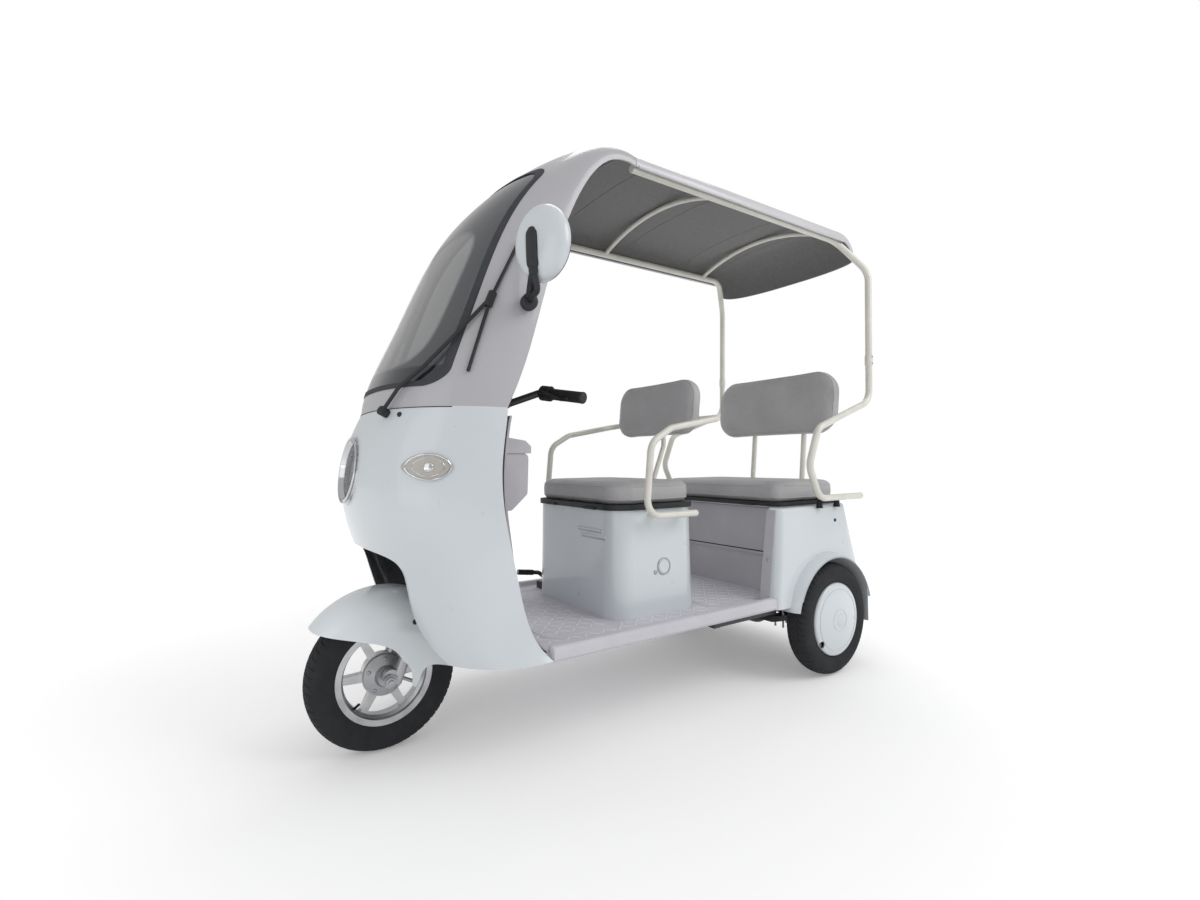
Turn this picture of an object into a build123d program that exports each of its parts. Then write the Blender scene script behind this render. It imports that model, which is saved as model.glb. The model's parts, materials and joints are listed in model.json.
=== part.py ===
from build123d import *
import os
from math import copysign, cos, pi, radians, sin, sqrt, tan

# Covered electric passenger tricycle: one steered front wheel, two rear wheels.
# Millimetres. +X is the vehicle's left, -Y its front, +Z up, the floor is z = 0.

os.makedirs("parts", exist_ok=True)

# ---- overall -------------------------------------------------------------
wheelbase = 1556.0
front_axle_y = -856.0
rear_axle_y = front_axle_y + wheelbase
half_track = 374.0
floor_top = 302.0
floor_half_width = 385.0
roof_side_z = 1705.0
roof_crown_z = 1790.0
wall = 6.0                      # moulded plastic wall
seat_gap = 0.3                  # clearance under and around soft parts
lid_gap = 0.5                   # rubber-buffer gap under each lid

# ---- wheels --------------------------------------------------------------
tyre_radius = 207.5
tyre_width = 82.0
bead_radius = 127.0
flange_radius = 134.0
rim_half_width = 33.0
hub_bore = 10.05
axle_radius = 10.0
axle_z = tyre_radius

# ---- steering ------------------------------------------------------------
rake = 22.0                     # steering axis, degrees back from vertical
fork_offset = 25.0              # wheel axle ahead of the steering axis
stem_radius = 15.0
bearing_clearance = 0.05
head_bottom, head_top = 405.0, 665.0     # along the steering axis above the axle
fork_half_spacing = 64.0
fork_leg_radius = 15.0
leg_lead = 3.0                  # fork legs ahead of the steering axis
stem_top = 796.0                # along the steering axis above the axle
fender_radius = 240.0

# ---- front body ----------------------------------------------------------
cowl_bottom = 285.0
cowl_foot_low = 520.0           # how far ahead of the centre the cowl's lower rear edge is
seam_z = 945.0                  # joint between nose cowl and windscreen surround
cowl_half_width = 325.0
screen_bottom, screen_top = 1012.0, 1648.0
screen_half_width = 268.0
fairing_end_y = -187.0          # joint between top fairing and canopy

# ---- driver seat ---------------------------------------------------------
box_half_width = 250.0
box_front_y, box_rear_y = -210.0, 150.0
box_top = 645.0
box_corner = 70.0
cushion_height = 72.0
lid_height = 18.0
hinge_radius = 4.0              # barrel on each lid's turning axis
arm_x = 300.0
arm_radius = 11.0

# ---- rear bench and body -------------------------------------------------
bench_front_y, bench_rear_y = 500.0, 888.0
bench_half_width = 312.0
body_top = 628.0
body_front_low_y, body_front_top_y = 390.0, 443.0
body_rear_low_y, body_rear_top_y = 992.0, 942.0
body_half_low, body_half_top = 385.0, 366.0
panel_y = 520.0                 # bench front panel
panel_half_width = 316.0
arch_radius = 212.0
fender_outer_radius = 243.0
fender_outer_x = 432.0
fender_inner_x = 318.0

# ---- tube frame ----------------------------------------------------------
rail_x = 311.0
pole_x = 385.0
pole_y = 1003.0
pole_radius = 12.5
bow_radius = 9.0
bow_stations = (185.0, 785.0)
canopy_wall, lining_wall = 5.0, 3.0


def axis_y(z):
    """Y of the steering axis at height z."""
    return front_axle_y + fork_offset / cos(radians(rake)) + (z - axle_z) * tan(radians(rake))


steer_low = Vector(0, axis_y(axle_z), axle_z)
steer_dir = Vector(0, sin(radians(rake)), cos(radians(rake)))
steer_plane = Plane(origin=steer_low, x_dir=(1, 0, 0), z_dir=steer_dir)


def tube(points, radius, bend):
    """Round tube along straight runs joined by tangent arcs."""
    path = FilletPolyline(*points, radius=bend)
    return sweep(Plane(origin=path @ 0, z_dir=path % 0) * Circle(radius), path=path)


def rod(start, end, radius):
    """Straight round bar between two points."""
    start, end = Vector(*start), Vector(*end)
    run = end - start
    return extrude(Plane(origin=start, z_dir=run) * Circle(radius), run.length)


def both_sides(solid):
    """A left-hand piece and its mirror image."""
    return [solid, mirror(solid, about=Plane.YZ)]


def side_prism(outline, x_low, x_high):
    """Side-view face (y, z) extruded across the vehicle."""
    plane = Plane(origin=(x_low, 0, 0), x_dir=(0, 1, 0), z_dir=(1, 0, 0))
    return extrude(plane * outline, x_high - x_low)


def front_prism(outline, y_low, y_high):
    """Front-view face (x, z) extruded along the vehicle."""
    plane = Plane(origin=(0, y_high, 0), x_dir=(1, 0, 0), z_dir=(0, -1, 0))
    return extrude(plane * outline, y_high - y_low)


def level_prism(outline, z_low, z_high):
    """Plan-view face (x, y) extruded upwards."""
    return extrude(Pos(0, 0, z_low) * outline, z_high - z_low)


def ring_about_x(profile, x=0.0, y=0.0, z=axle_z):
    """Revolves a profile of (x, radius) points about a wheel axle."""
    face = Plane(origin=(0, 0, 0), x_dir=(1, 0, 0), z_dir=(0, -1, 0)) * profile
    return Pos(x, y, z) * revolve(face, axis=Axis.X, revolution_arc=360)


def arch_points(half_width, foot, crown, power, count=13):
    """Half a superellipse from one foot over the crown to the other."""
    points = []
    for i in range(count):
        t = pi * i / (count - 1)
        across = copysign(abs(cos(t)) ** (2 / power), cos(t))
        points.append((half_width * across, foot + (crown - foot) * abs(sin(t)) ** (2 / power)))
    return points


def arch_face(half_width, foot, crown, power):
    points = arch_points(half_width, foot, crown, power)
    return make_face([Spline(*points), Line(points[-1], points[0])])


def fan_plane(pivot_y, pivot_z, angle):
    """Plane through a cross-wise pivot: local x is across, local y points
    forward at angle 0 and straight up at angle 90."""
    a = radians(angle)
    return Plane(origin=(0, pivot_y, pivot_z), x_dir=(1, 0, 0), z_dir=(0, -sin(a), -cos(a)))


def arch_solid(stations, inset=0.0, extra=0.0):
    """Loft through arch sections, each (plane, half width, foot, crown, power)."""
    faces = []
    for plane, half_width, foot, crown, power in stations:
        faces.append(plane * arch_face(half_width - inset, foot - extra, crown - inset, power))
    return loft(faces)


def arch_layer(stations, outer, inner):
    """Layer of the arch loft between two insets, open at the foot."""
    faces = []
    for plane, half_width, foot, crown, power in stations:
        out = arch_points(half_width - outer, foot, crown - outer, power)
        back = arch_points(half_width - inner, foot, crown - inner, power)[::-1]
        band = make_face([Spline(*out), Line(out[-1], back[0]), Spline(*back), Line(back[-1], out[0])])
        faces.append(plane * band)
    return loft(faces)


def rounded_rectangle(x_half, y_low, y_high, radius):
    face = Pos(0, (y_low + y_high) / 2) * Rectangle(2 * x_half, y_high - y_low)
    return fillet(face.vertices(), radius)


nodes = {}


def add(name, *solids):
    parts = []
    for item in solids:
        parts.extend(item if isinstance(item, list) else [item])
    flat = [s for p in parts for s in p.solids()]
    nodes[name] = flat[0] if len(flat) == 1 else Compound(children=flat)


# ---- wheels --------------------------------------------------------------
def tyre(x, y):
    """Tubed road tyre: bead, bulged sidewall and crowned tread."""
    half = tyre_width / 2
    lip = flange_radius + 0.5
    right = [(34, lip + 2), (half, 168), (36, 194), (0, tyre_radius)]
    left = [(-px, pr) for px, pr in reversed(right[:-1])]
    tread = Spline(*(right + left), tangents=[(0.5, 1), (0.5, -1)])
    bead = Polyline(left[-1], (-28, lip), (-28, bead_radius), (28, bead_radius), (28, lip), right[0])
    return ring_about_x(make_face([tread, bead]), x, y)


def rim_barrel(x, y):
    """Drop-centre rim with a flange at each side."""
    h = rim_half_width
    profile = Polyline(
        (-h, 118), (-h, flange_radius), (-h + 4, flange_radius), (-28, bead_radius - 0.2),
        (-15, bead_radius - 0.2), (-10, 116), (10, 116), (15, bead_radius - 0.2),
        (28, bead_radius - 0.2), (h - 4, flange_radius), (h, flange_radius), (h, 118),
        (20, 118), (13, 110), (-13, 110), (-20, 118), close=True,
    )
    return ring_about_x(make_face(profile), x, y)


def cast_front_rim():
    """Six-spoke cast wheel with its brake drum hub."""
    y = front_axle_y
    hub = make_face(Polyline(
        (-36, hub_bore), (-36, 32), (-24, 56), (12, 60), (12, hub_bore), close=True))
    wheel = rim_barrel(0, y) + ring_about_x(hub, 0, y)
    spoke = make_face(Polyline((-13, 40), (-9, 117), (9, 117), (13, 40), close=True))
    blade = extrude(Plane.YZ * Pos(0, 0) * spoke, 12, both=True)
    for i in range(6):
        wheel += Pos(0, y, axle_z) * Rot(60 * i + 30, 0, 0) * blade
    return wheel


def disc_rear_rim(side):
    """Pressed disc wheel: barrel, dished disc and hub."""
    x, y = side * half_track, rear_axle_y
    s = side
    disc = make_face(Polyline(
        (s * -16, hub_bore), (s * -16, 34), (s * -2, 40), (s * 6, 111), (s * 12, 111),
        (s * 5, 36), (s * 18, 30), (s * 18, hub_bore), close=True))
    return rim_barrel(x, y) + ring_about_x(disc, x, y)


def wheel_cover(side):
    """Domed snap-on cover with a notch for the tyre valve."""
    x, y = side * half_track, rear_axle_y
    s = side
    lip, dome = s * (rim_half_width + 0.5), s * (rim_half_width + 20)
    outer = Spline((lip, 134), (s * (rim_half_width + 11), 120), (dome, 0),
                   tangents=[(s * 1, 0), (0, -1)])
    inner = Spline((s * (rim_half_width + 17), 0), (s * (rim_half_width + 8), 117), (lip, 130),
                   tangents=[(0, 1), (s * -1, 0.2)])
    face = make_face([outer, Line((dome, 0), (s * (rim_half_width + 17), 0)), inner,
                      Line((lip, 130), (lip, 134))])
    cover = ring_about_x(face, x, y)
    a = radians(218 if side > 0 else -38)
    notch = Pos(x, y + 128 * cos(a), axle_z + 128 * sin(a)) * Rot(0, 90, 0) * Cylinder(15, 120)
    return cover - notch


add("front_tyre", tyre(0, front_axle_y))
add("front_rim", cast_front_rim())
for side, tag in ((1, "left"), (-1, "right")):
    add(f"rear_tyre_{tag}", tyre(side * half_track, rear_axle_y))
    add(f"rear_rim_{tag}", disc_rear_rim(side))
    add(f"wheel_cover_{tag}", wheel_cover(side))


# ---- steering assembly ---------------------------------------------------
fender_bolt_y, fender_bolt_z = -791.0, 361.0


def yoke_outline():
    """Plate with a round boss on the stem and one on each leg."""
    x, y, r = fork_half_spacing, -leg_lead, 21.0
    reach = sqrt(x * x + y * y)
    nx, ny = -y * r / reach, x * r / reach
    web = make_face(Polyline((-x, y - r), (x, y - r), (x + nx, y + ny), (nx, ny), (-nx, ny),
                             (-x - nx, y + ny), close=True))
    return web + Circle(r) + Pos(x, y) * Circle(r) + Pos(-x, y) * Circle(r)


def front_fork():
    """Leading-axle telescopic fork: sliders, stanchions, yoke, stem and axle."""
    f = steer_plane
    parts = None
    reach = fork_offset - leg_lead
    for s in (-1, 1):
        x = s * fork_half_spacing
        slider = f * Pos(x, -leg_lead, 95) * Cylinder(fork_leg_radius, 215)
        stanchion = f * Pos(x, -leg_lead, 265) * Cylinder(11, 270)
        eye = f * Pos(x, -fork_offset, 0) * Rot(0, 90, 0) * Cylinder(20, 18)
        foot = f * Pos(x, -leg_lead - reach / 2, 0) * Box(18, reach, 38)
        boss = rod((x, fender_bolt_y, fender_bolt_z), (s * 85.8, fender_bolt_y, fender_bolt_z), 8)
        leg = slider + stanchion + eye + foot + boss
        parts = leg if parts is None else parts + leg
    low_yoke = f * Pos(0, 0, head_bottom - 29) * extrude(yoke_outline(), 22)
    stem_low = head_bottom - 20
    stem = f * Pos(0, 0, (stem_low + stem_top) / 2) * Cylinder(stem_radius, stem_top - stem_low)
    axle = Pos(0, front_axle_y, axle_z) * Rot(0, 90, 0) * Cylinder(axle_radius, 2 * fork_half_spacing + 30)
    return parts + low_yoke + stem + axle


def front_fender():
    """Deep mudguard: crowned shell whose side valances wrap the fork legs and
    end in a pointed ear behind the axle."""
    outer = Spline((0, fender_radius + 6), (50, fender_radius - 2), (82, 205), (90, 160), (86, 60),
                   tangents=[(1, 0), (-0.1, -1)])
    inner = Spline((82.6, 60), (86.6, 160), (78.6, 203), (48, fender_radius - 5),
                   (0, fender_radius + 3), tangents=[(0.1, 1), (-1, 0)])
    half = make_face([outer, Line((86, 60), (82.6, 60)), inner,
                      Line((0, fender_radius + 3), (0, fender_radius + 6))])
    shell = ring_about_x(half + mirror(half, about=Plane.YZ), 0, front_axle_y)
    y = front_axle_y
    edge = Spline((y - 254, 374), (y - 164, 354), (y - 77, 330), (y + 6, 294), (y + 42, 236),
                  (y + 67, 182), (y + 92, 226), (y + 156, 224), (y + 216, 208), (y + 296, 206))
    region = make_face([edge, Polyline((y + 296, 206), (y + 296, 480), (y - 254, 480), (y - 254, 374))])
    shell = shell & side_prism(region, -120, 120)
    for s in (-1, 1):
        leg = steer_plane * Pos(s * fork_half_spacing, -leg_lead, 300) * Cylinder(17.5, 620)
        shell -= leg
    return shell


add("front_fork", front_fork())
add("front_fender", front_fender())


bar_centre = steer_low + steer_dir * 820
bar_bend = Vector(150, 102, 46)         # from the bar's centre, left side
bar_end = Vector(292, 155, 20)


def on_bar(side, across):
    """Point on the outer straight of the bar, this far from the centre line."""
    p = bar_bend + (bar_end - bar_bend) * ((across - bar_bend.X) / (bar_end.X - bar_bend.X))
    return bar_centre + Vector(side * p.X, p.Y, p.Z)


def handlebar():
    """Swept-back bar clamped on top of the stem."""
    left = [Vector(0, 0, 0), Vector(80, -6, 2), bar_bend, bar_end]
    points = [Vector(-p.X, p.Y, p.Z) for p in reversed(left[1:])] + left
    bar = tube([bar_centre + p for p in points], 11, 24)
    clamp = steer_plane * Pos(0, 0, stem_top + 22) * Cylinder(24, 44)
    return bar + clamp


def grip(side):
    """Rubber grip, switch box and brake lever."""
    outer, inner = on_bar(side, 300), on_bar(side, 190)
    run = (outer - inner).normalized()
    sleeve = rod(inner, outer, 16) - rod(inner - run * 4, outer - run * 6, 11.2)
    switch_end = inner - run * 34
    switch = rod(switch_end, inner - run * 2, 23) - rod(switch_end - run * 4, inner + run * 4, 11.2)
    pivot = switch_end + run * 14
    lever_points = [pivot + Vector(0, -18, 2), pivot + Vector(side * 26, -42, 2),
                    outer + Vector(side * -56, -41, -2), outer + Vector(side * -28, -38, -3)]
    return [sleeve, switch + tube(lever_points, 5, 14)]


def instrument():
    """Small pod over the bar clamp with a dial face towards the rider."""
    body = Box(150, 72, 34)
    body = fillet(body.edges().filter_by(Axis.Z), 26)
    body = fillet(body.faces().sort_by(Axis.Z)[-1].edges(), 8)
    return steer_plane * Pos(0, 4, stem_top + 44.3 + 17) * body


def front_brake_plate():
    """Drum backing plate with its torque arm and cam lever on the left."""
    plate = make_face(Polyline((12.6, hub_bore + 0.2), (12.6, 57), (20, 57), (30, 30), (43, 24),
                               (43, hub_bore + 0.2), close=True))
    plate = ring_about_x(plate, 0, front_axle_y)
    lever = rod((38, front_axle_y + 12, axle_z + 6), (38, front_axle_y + 80, axle_z - 30), 5)
    return plate + lever


add("handlebar", handlebar())
add("handlebar_grips", *[piece for s in (-1, 1) for piece in grip(s)])
add("instrument", instrument())
add("front_brake_plate", front_brake_plate())


# ---- nose cowl and windscreen surround -----------------------------------
def level_plane(z):
    """Horizontal section plane whose local y points forward."""
    return fan_plane(0, z, 0)


cowl_stations = [
    (level_plane(cowl_bottom), cowl_half_width + 58, cowl_foot_low, 800, 2.6),
    (level_plane(420), cowl_half_width + 22, 587, 858, 2.5),
    (level_plane(560), cowl_half_width + 12, 614, 917, 2.4),
    (level_plane(700), cowl_half_width + 8, 638, 955, 2.3),
    (level_plane(830), cowl_half_width + 4, 636, 946, 2.3),
    (level_plane(seam_z), cowl_half_width, 621, 899, 2.4),
]


def wheel_opening():
    """Side-view mouth that leaves the front wheel free."""
    edge = Spline((-1000, 570), (-912, 569), (-872, 545), (-848, 488), (-815, 380), (-785, 320),
                  (-740, 270))
    face = make_face([edge, Polyline((-740, 270), (-1000, 270), (-1000, 570))])
    return side_prism(face, -400, 400)


headlight_z = 779.0
headlight_y = -925.0
headlight_tilt = 8.0
headlight_radius = 91.0


def headlight_axis():
    return Pos(0, headlight_y, headlight_z) * Rot(90 - headlight_tilt, 0, 0)


def front_cowl():
    shell = arch_layer(cowl_stations, 0, wall) - wheel_opening()
    return shell - headlight_axis() * Cylinder(headlight_radius + 4.3, 160)


def headlight_housing():
    """Chromed bezel ring with a bowl behind the lens."""
    r = headlight_radius
    profile = make_face(Polyline((r - 6.2, -45), (r - 6.2, 4), (r + 4, 10), (r + 4, 24), (r - 8, 30),
                                 (r - 14, 18), (r - 14, -30), (20, -55), (0, -55), (0, -62),
                                 (r - 20, -62), close=True))
    ring = revolve(Plane.XZ * profile, axis=Axis.Z, revolution_arc=360)
    return headlight_axis() * ring


def headlight_lens():
    """Domed clear lens."""
    r = headlight_radius - 14.2
    dome = make_face([Spline((0, 30), (r * 0.6, 26), (r, 14), tangents=[(1, 0), (0.6, -1)]),
                      Polyline((r, 14), (r, 8), (0, 18), (0, 30))])
    return headlight_axis() * revolve(Plane.XZ * dome, axis=Axis.Z, revolution_arc=360)


def turn_signal():
    """Almond-shaped lamp that lies in the cowl's flank."""
    almond = make_face([ThreePointArc((-56, 0), (0, 34), (56, 0)),
                        ThreePointArc((56, 0), (0, -34), (-56, 0))])
    almond = fillet(almond.vertices(), 12)
    plane = Plane(origin=(500, -822, 792), x_dir=(0, 1, 0), z_dir=(1, 0, 0))
    prism = extrude(plane * almond, -330)
    layer = arch_layer(cowl_stations, -5, -seat_gap)
    return layer & prism


add("front_cowl", front_cowl())
add("headlight_housing", headlight_housing())
add("headlight_lens", headlight_lens())
signal = turn_signal()
add("turn_signals", *both_sides(signal))

surround_stations = [
    (fan_plane(fairing_end_y, seam_z, angle), cowl_half_width + half, foot, crown, power)
    for angle, half, foot, crown, power in [
        (0, 0, 434, 712, 2.4), (15, 3, 403, 676, 2.4), (30, 5, 411, 668, 2.4), (45, 6, 455, 706, 2.4),
        (60, 8, 545, 762, 2.5), (75, 11, 690, 820, 2.6), (90, 15, 752, roof_crown_z - seam_z + 8, 2.6)]
]


def screen_outline(margin):
    """Rounded trapezoid of the windscreen, seen from the front."""
    low, high = screen_bottom - margin, screen_top + margin
    half = screen_half_width + margin
    face = make_face(Polyline((-half, low), (half, low), (half - 16, high), (-half + 16, high),
                              close=True))
    return fillet(face.vertices(), 46)


def screen_prism(margin):
    return front_prism(screen_outline(margin), -1100, fairing_end_y - 60)


surround = arch_layer(surround_stations, 0, wall) - screen_prism(14)
add("windscreen_surround", surround)
seal_layer = arch_layer(surround_stations, -2, wall + 1)
add("windscreen_seal", (seal_layer & screen_prism(14)) - screen_prism(0))
add("windscreen", arch_layer(surround_stations, 0.5, 4.5) & screen_prism(0))


# ---- leg shield, glove boxes ---------------------------------------------
shield_line = [(-526, floor_top + seat_gap), (-586, 400), (-612, 560), (-628, 700), (-624, 830), (-608, 925)]


def leg_shield():
    """Inner panel behind the nose, bowed forward, with a column cover."""
    back = [(py + wall, pz) for py, pz in reversed(shield_line)]
    front = Spline(*shield_line)
    profile = make_face([front, Line(front @ 1, back[0]), Spline(*back), Line(back[-1], front @ 0)])
    panel = side_prism(profile, -floor_half_width, floor_half_width)
    panel = panel & arch_solid(cowl_stations, wall + 0.2, 140)
    ahead = make_face([Spline(*shield_line), Polyline(shield_line[-1], (-1000, 925), (-1000, shield_line[0][1]),
                                                      shield_line[0])])
    cover_low, cover_high = 420, 728
    cover = steer_plane * Pos(0, 0, (cover_low + cover_high) / 2) * (
        Cylinder(50, cover_high - cover_low) - Cylinder(45, cover_high - cover_low))
    tunnel = steer_plane * Pos(0, 0, 620) * Cylinder(45, 700)
    return (panel - tunnel) + (cover - side_prism(ahead, -80, 80))


glove_top = 826.0
glove_hinge_y, glove_hinge_z = -600.0, 868.0


def glove_bin(side):
    """Tapered pocket hung on the leg shield, open at the top."""
    x_low, x_high = 70, 250
    outline = make_face(Polyline((-606, 668), (-572, 668), (-522, 712), (-518, glove_top), (-617, glove_top),
                                 (-622, 700), close=True))
    outline = fillet(outline.vertices().sort_by(Axis.X)[-3:], 14)
    box = side_prism(outline, x_low, x_high)
    hollow = make_face(Polyline((-600, 680), (-575, 680), (-533, 718), (-527, 840), (-600, 840),
                                close=True))
    box -= side_prism(hollow, x_low + 5, x_high - 5)
    return box if side > 0 else mirror(box, about=Plane.YZ)


def glove_lid(side):
    """Lid with a turned-down lip and a hinge barrel along its front edge."""
    x_low, x_high = 66, 254
    low = glove_top + lid_gap
    outline = make_face(Polyline((-600, low), (-512, low), (-512, 846), (-530, 862), (-600, 872),
                                 close=True))
    lid = side_prism(outline, x_low, x_high)
    hollow = make_face(Polyline((-594, low - 1), (-517, low - 1), (-517, 842), (-532, 856), (-594, 866),
                                close=True))
    lid -= side_prism(hollow, x_low + 5, x_high - 5)
    lid += rod((x_low, glove_hinge_y, glove_hinge_z), (x_high, glove_hinge_y, glove_hinge_z), hinge_radius)
    return lid if side > 0 else mirror(lid, about=Plane.YZ)


add("leg_shield", leg_shield())
add("glove_boxes", glove_bin(1), glove_bin(-1))
add("glove_lid_left", glove_lid(1))
add("glove_lid_right", glove_lid(-1))

# ---- chassis and floor ---------------------------------------------------
rail_half = 190.0
rail_width, rail_height = 36.0, 34.0
floor_thickness = 22.0
pad_rise = 1.5                  # moulded foot mats stand this far above the deck
floor_front_y = -560.0
floor_rear_y = panel_y + 4
deck_front_y = -cowl_foot_low + seat_gap
deck_rear_y = body_front_low_y - 2
rail_top = floor_top - floor_thickness
kick_y, kick_rise = 622.0, 118.0
rail_end_y = 958.0
runner_x = 331.0                # side runners under the deck
runner_front_y, runner_rear_y = 140.0, 430.0


def chassis_rail(x):
    """Side rail that kicks up over the rear axle."""
    low = rail_top - rail_height
    outline = make_face(Polyline(
        (floor_front_y + 20, low), (kick_y - 60, low), (kick_y + 30, low + kick_rise),
        (rail_end_y, low + kick_rise), (rail_end_y, rail_top + kick_rise),
        (kick_y + 18, rail_top + kick_rise), (kick_y - 72, rail_top), (floor_front_y + 20, rail_top),
        close=True))
    return side_prism(outline, x - rail_width / 2, x + rail_width / 2)


def cross_member(y, z_top, half=rail_half):
    return level_prism(Pos(0, y) * Rectangle(2 * half, 30), z_top - rail_height + 4, z_top)


def chassis_frame():
    """Two rails, cross members, side runners on outriggers, a central down tube
    and the head tube."""
    frame = chassis_rail(rail_half) + chassis_rail(-rail_half)
    for y in (floor_front_y + 40, -180, kick_y - 110):
        frame += cross_member(y, rail_top)
    for y in (runner_front_y, runner_rear_y):
        frame += cross_member(y, rail_top, runner_x + 9)
    runner = Pos(runner_x, (runner_front_y + runner_rear_y) / 2) * (
        Rectangle(18, runner_rear_y - runner_front_y))
    for strip in both_sides(level_prism(runner, rail_top - 29, rail_top - 2.5)):
        frame += strip
    for y in (kick_y + 150, rail_end_y - 20):
        frame += cross_member(y, rail_top + kick_rise)
    head_mid = steer_low + steer_dir * ((head_bottom + head_top) / 2)
    low_z = rail_top - rail_height / 2
    down = tube([(0, head_mid.Y - 5, head_mid.Z - 40), (0, -638, 570), (0, -612, 400),
                 (0, -568, low_z), (0, floor_front_y + 60, low_z)], 16, 50)
    head = steer_plane * Pos(0, 0, (head_bottom + head_top) / 2) * (
        Cylinder(stem_radius + 11, head_top - head_bottom))
    bore = steer_plane * Pos(0, 0, (head_bottom + head_top) / 2) * (
        Cylinder(stem_radius + bearing_clearance, head_top - head_bottom + 80))
    return frame + down + head - bore


def floor_pan():
    """Flat deck with raised rounded sills and two slightly raised foot mats."""
    half = floor_half_width
    section = make_face(Polyline(
        (-half + 6, rail_top), (half - 6, rail_top), (half, rail_top + 8), (half, floor_top + 12),
        (half - 8, floor_top + 18), (half - 26, floor_top + 18), (half - 34, floor_top),
        (-half + 34, floor_top), (-half + 26, floor_top + 18), (-half + 8, floor_top + 18),
        (-half, floor_top + 12), (-half, rail_top + 8), close=True))
    section = fillet(section.vertices().filter_by(lambda v: v.Y > rail_top + 1), 4)
    deck = front_prism(section, deck_front_y, deck_rear_y)
    for x_half, y_low, y_high in ((270, -470, -225), (300, 170, 480)):
        deck += level_prism(rounded_rectangle(x_half, y_low, y_high, 30), floor_top, floor_top + pad_rise)
    toe = level_prism(Pos(0, deck_front_y - 6) * Rectangle(2 * half - 50, 32), rail_top, floor_top)
    rear = level_prism(Pos(0, (deck_rear_y + floor_rear_y) / 2)
                       * Rectangle(2 * panel_half_width, floor_rear_y - deck_rear_y),
                       rail_top, floor_top)
    return deck + toe + rear


add("chassis_frame", chassis_frame())
add("floor_pan", floor_pan())


# ---- driver seat ---------------------------------------------------------
def seat_plan(margin):
    return rounded_rectangle(box_half_width + margin, box_front_y - margin, box_rear_y + margin,
                             box_corner + margin)


def driver_seat_box():
    """Moulded box, open at the top, with a slight draft."""
    outer = loft([Pos(0, 0, floor_top) * seat_plan(3), Pos(0, 0, box_top) * seat_plan(-3)])
    inner = loft([Pos(0, 0, floor_top + wall) * seat_plan(3 - wall),
                  Pos(0, 0, box_top + 1) * seat_plan(-3 - wall)])
    return outer - inner


def hinge_barrels(x, y, z):
    """Two short barrels that share one turning axis."""
    barrel = Pos(0, y, z) * Rot(0, 90, 0) * Cylinder(hinge_radius, 60)
    return Pos(x, 0, 0) * barrel + Pos(-x, 0, 0) * barrel


def driver_seat_base():
    """Black lid pan on the box rim, with two hinge barrels in front."""
    pan = level_prism(seat_plan(6), box_top + lid_gap, box_top + lid_height)
    return pan + hinge_barrels(120, box_front_y - 9, box_top + hinge_radius)


def driver_cushion():
    low = box_top + lid_height + seat_gap
    pad = level_prism(seat_plan(3), low, low + cushion_height)
    return fillet(pad.faces().sort_by(Axis.Z)[-1].edges(), 22)


arm_rear_y = 226.4
arm_high_z = 952.0


def driver_armrest():
    """Hoop: two arms joined by a bar behind the backrest, feet on the box."""
    points = [(arm_x, 88, 629), (arm_x, -128, 629), (arm_x, -105, 860), (arm_x, -20, 908),
              (arm_x, arm_rear_y, arm_high_z)]
    mirrored = [(-px, py, pz) for px, py, pz in reversed(points)]
    hoop = tube(points + mirrored, arm_radius, [52, 60, 60, 48, 48, 60, 60, 52])
    for s in (-1, 1):
        for y in (-60, 60):
            lug_low = box_half_width - 2.6
            lug = Pos(s * (lug_low + arm_x) / 2, y, 629) * Box(arm_x - lug_low, 30, 8)
            hoop += lug
    post = tube([(0, 172, 540), (0, 172, 730), (0, arm_rear_y, 860), (0, arm_rear_y, arm_high_z)],
                9, 40)
    plate = level_prism(Pos(0, (box_rear_y - 1 + 172) / 2) * Rectangle(40, 23), 545, 585)
    return hoop + post + plate


def backrest_pad(half_width, half_height, thickness, y, z, lean):
    """Rounded slab that leans back a little."""
    face = Rectangle(2 * half_width, 2 * half_height)
    face = fillet(face.vertices(), half_height * 0.72)
    pad = extrude(Plane.XZ * face, thickness / 2, both=True)
    pad = fillet(pad.faces().sort_by(Axis.Y)[0].edges(), 16)
    return Pos(0, y, z) * Rot(-lean, 0, 0) * pad


add("driver_seat_box", driver_seat_box())
add("driver_seat_base", driver_seat_base())
add("driver_cushion", driver_cushion())
add("driver_armrest", driver_armrest())
add("driver_backrest", backrest_pad(222, 110, 56, 192, 1000, 6))
add("battery", Pos(0, (box_front_y + box_rear_y) / 2, floor_top + wall + 90) * Box(330, 270, 180))


# ---- rear body -----------------------------------------------------------
def body_plan(half, y_low, y_high, front_r, rear_r):
    """Plan outline: small front corners, large rear corners."""
    face = Pos(0, (y_low + y_high) / 2) * Rectangle(2 * half, y_high - y_low)
    ordered = face.vertices().sort_by(Axis.Y)
    face = fillet(ordered[-2:], rear_r)
    return fillet(face.vertices().sort_by(Axis.Y)[:2], front_r)


def body_loft(inset):
    low = body_plan(body_half_low - inset, body_front_low_y + inset, body_rear_low_y - inset, 26, 90)
    high = body_plan(body_half_top - inset, body_front_top_y + inset, body_rear_top_y - inset, 26, 150)
    return loft([Pos(0, 0, rail_top - 2) * low, Pos(0, 0, body_top - inset) * high])


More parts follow.
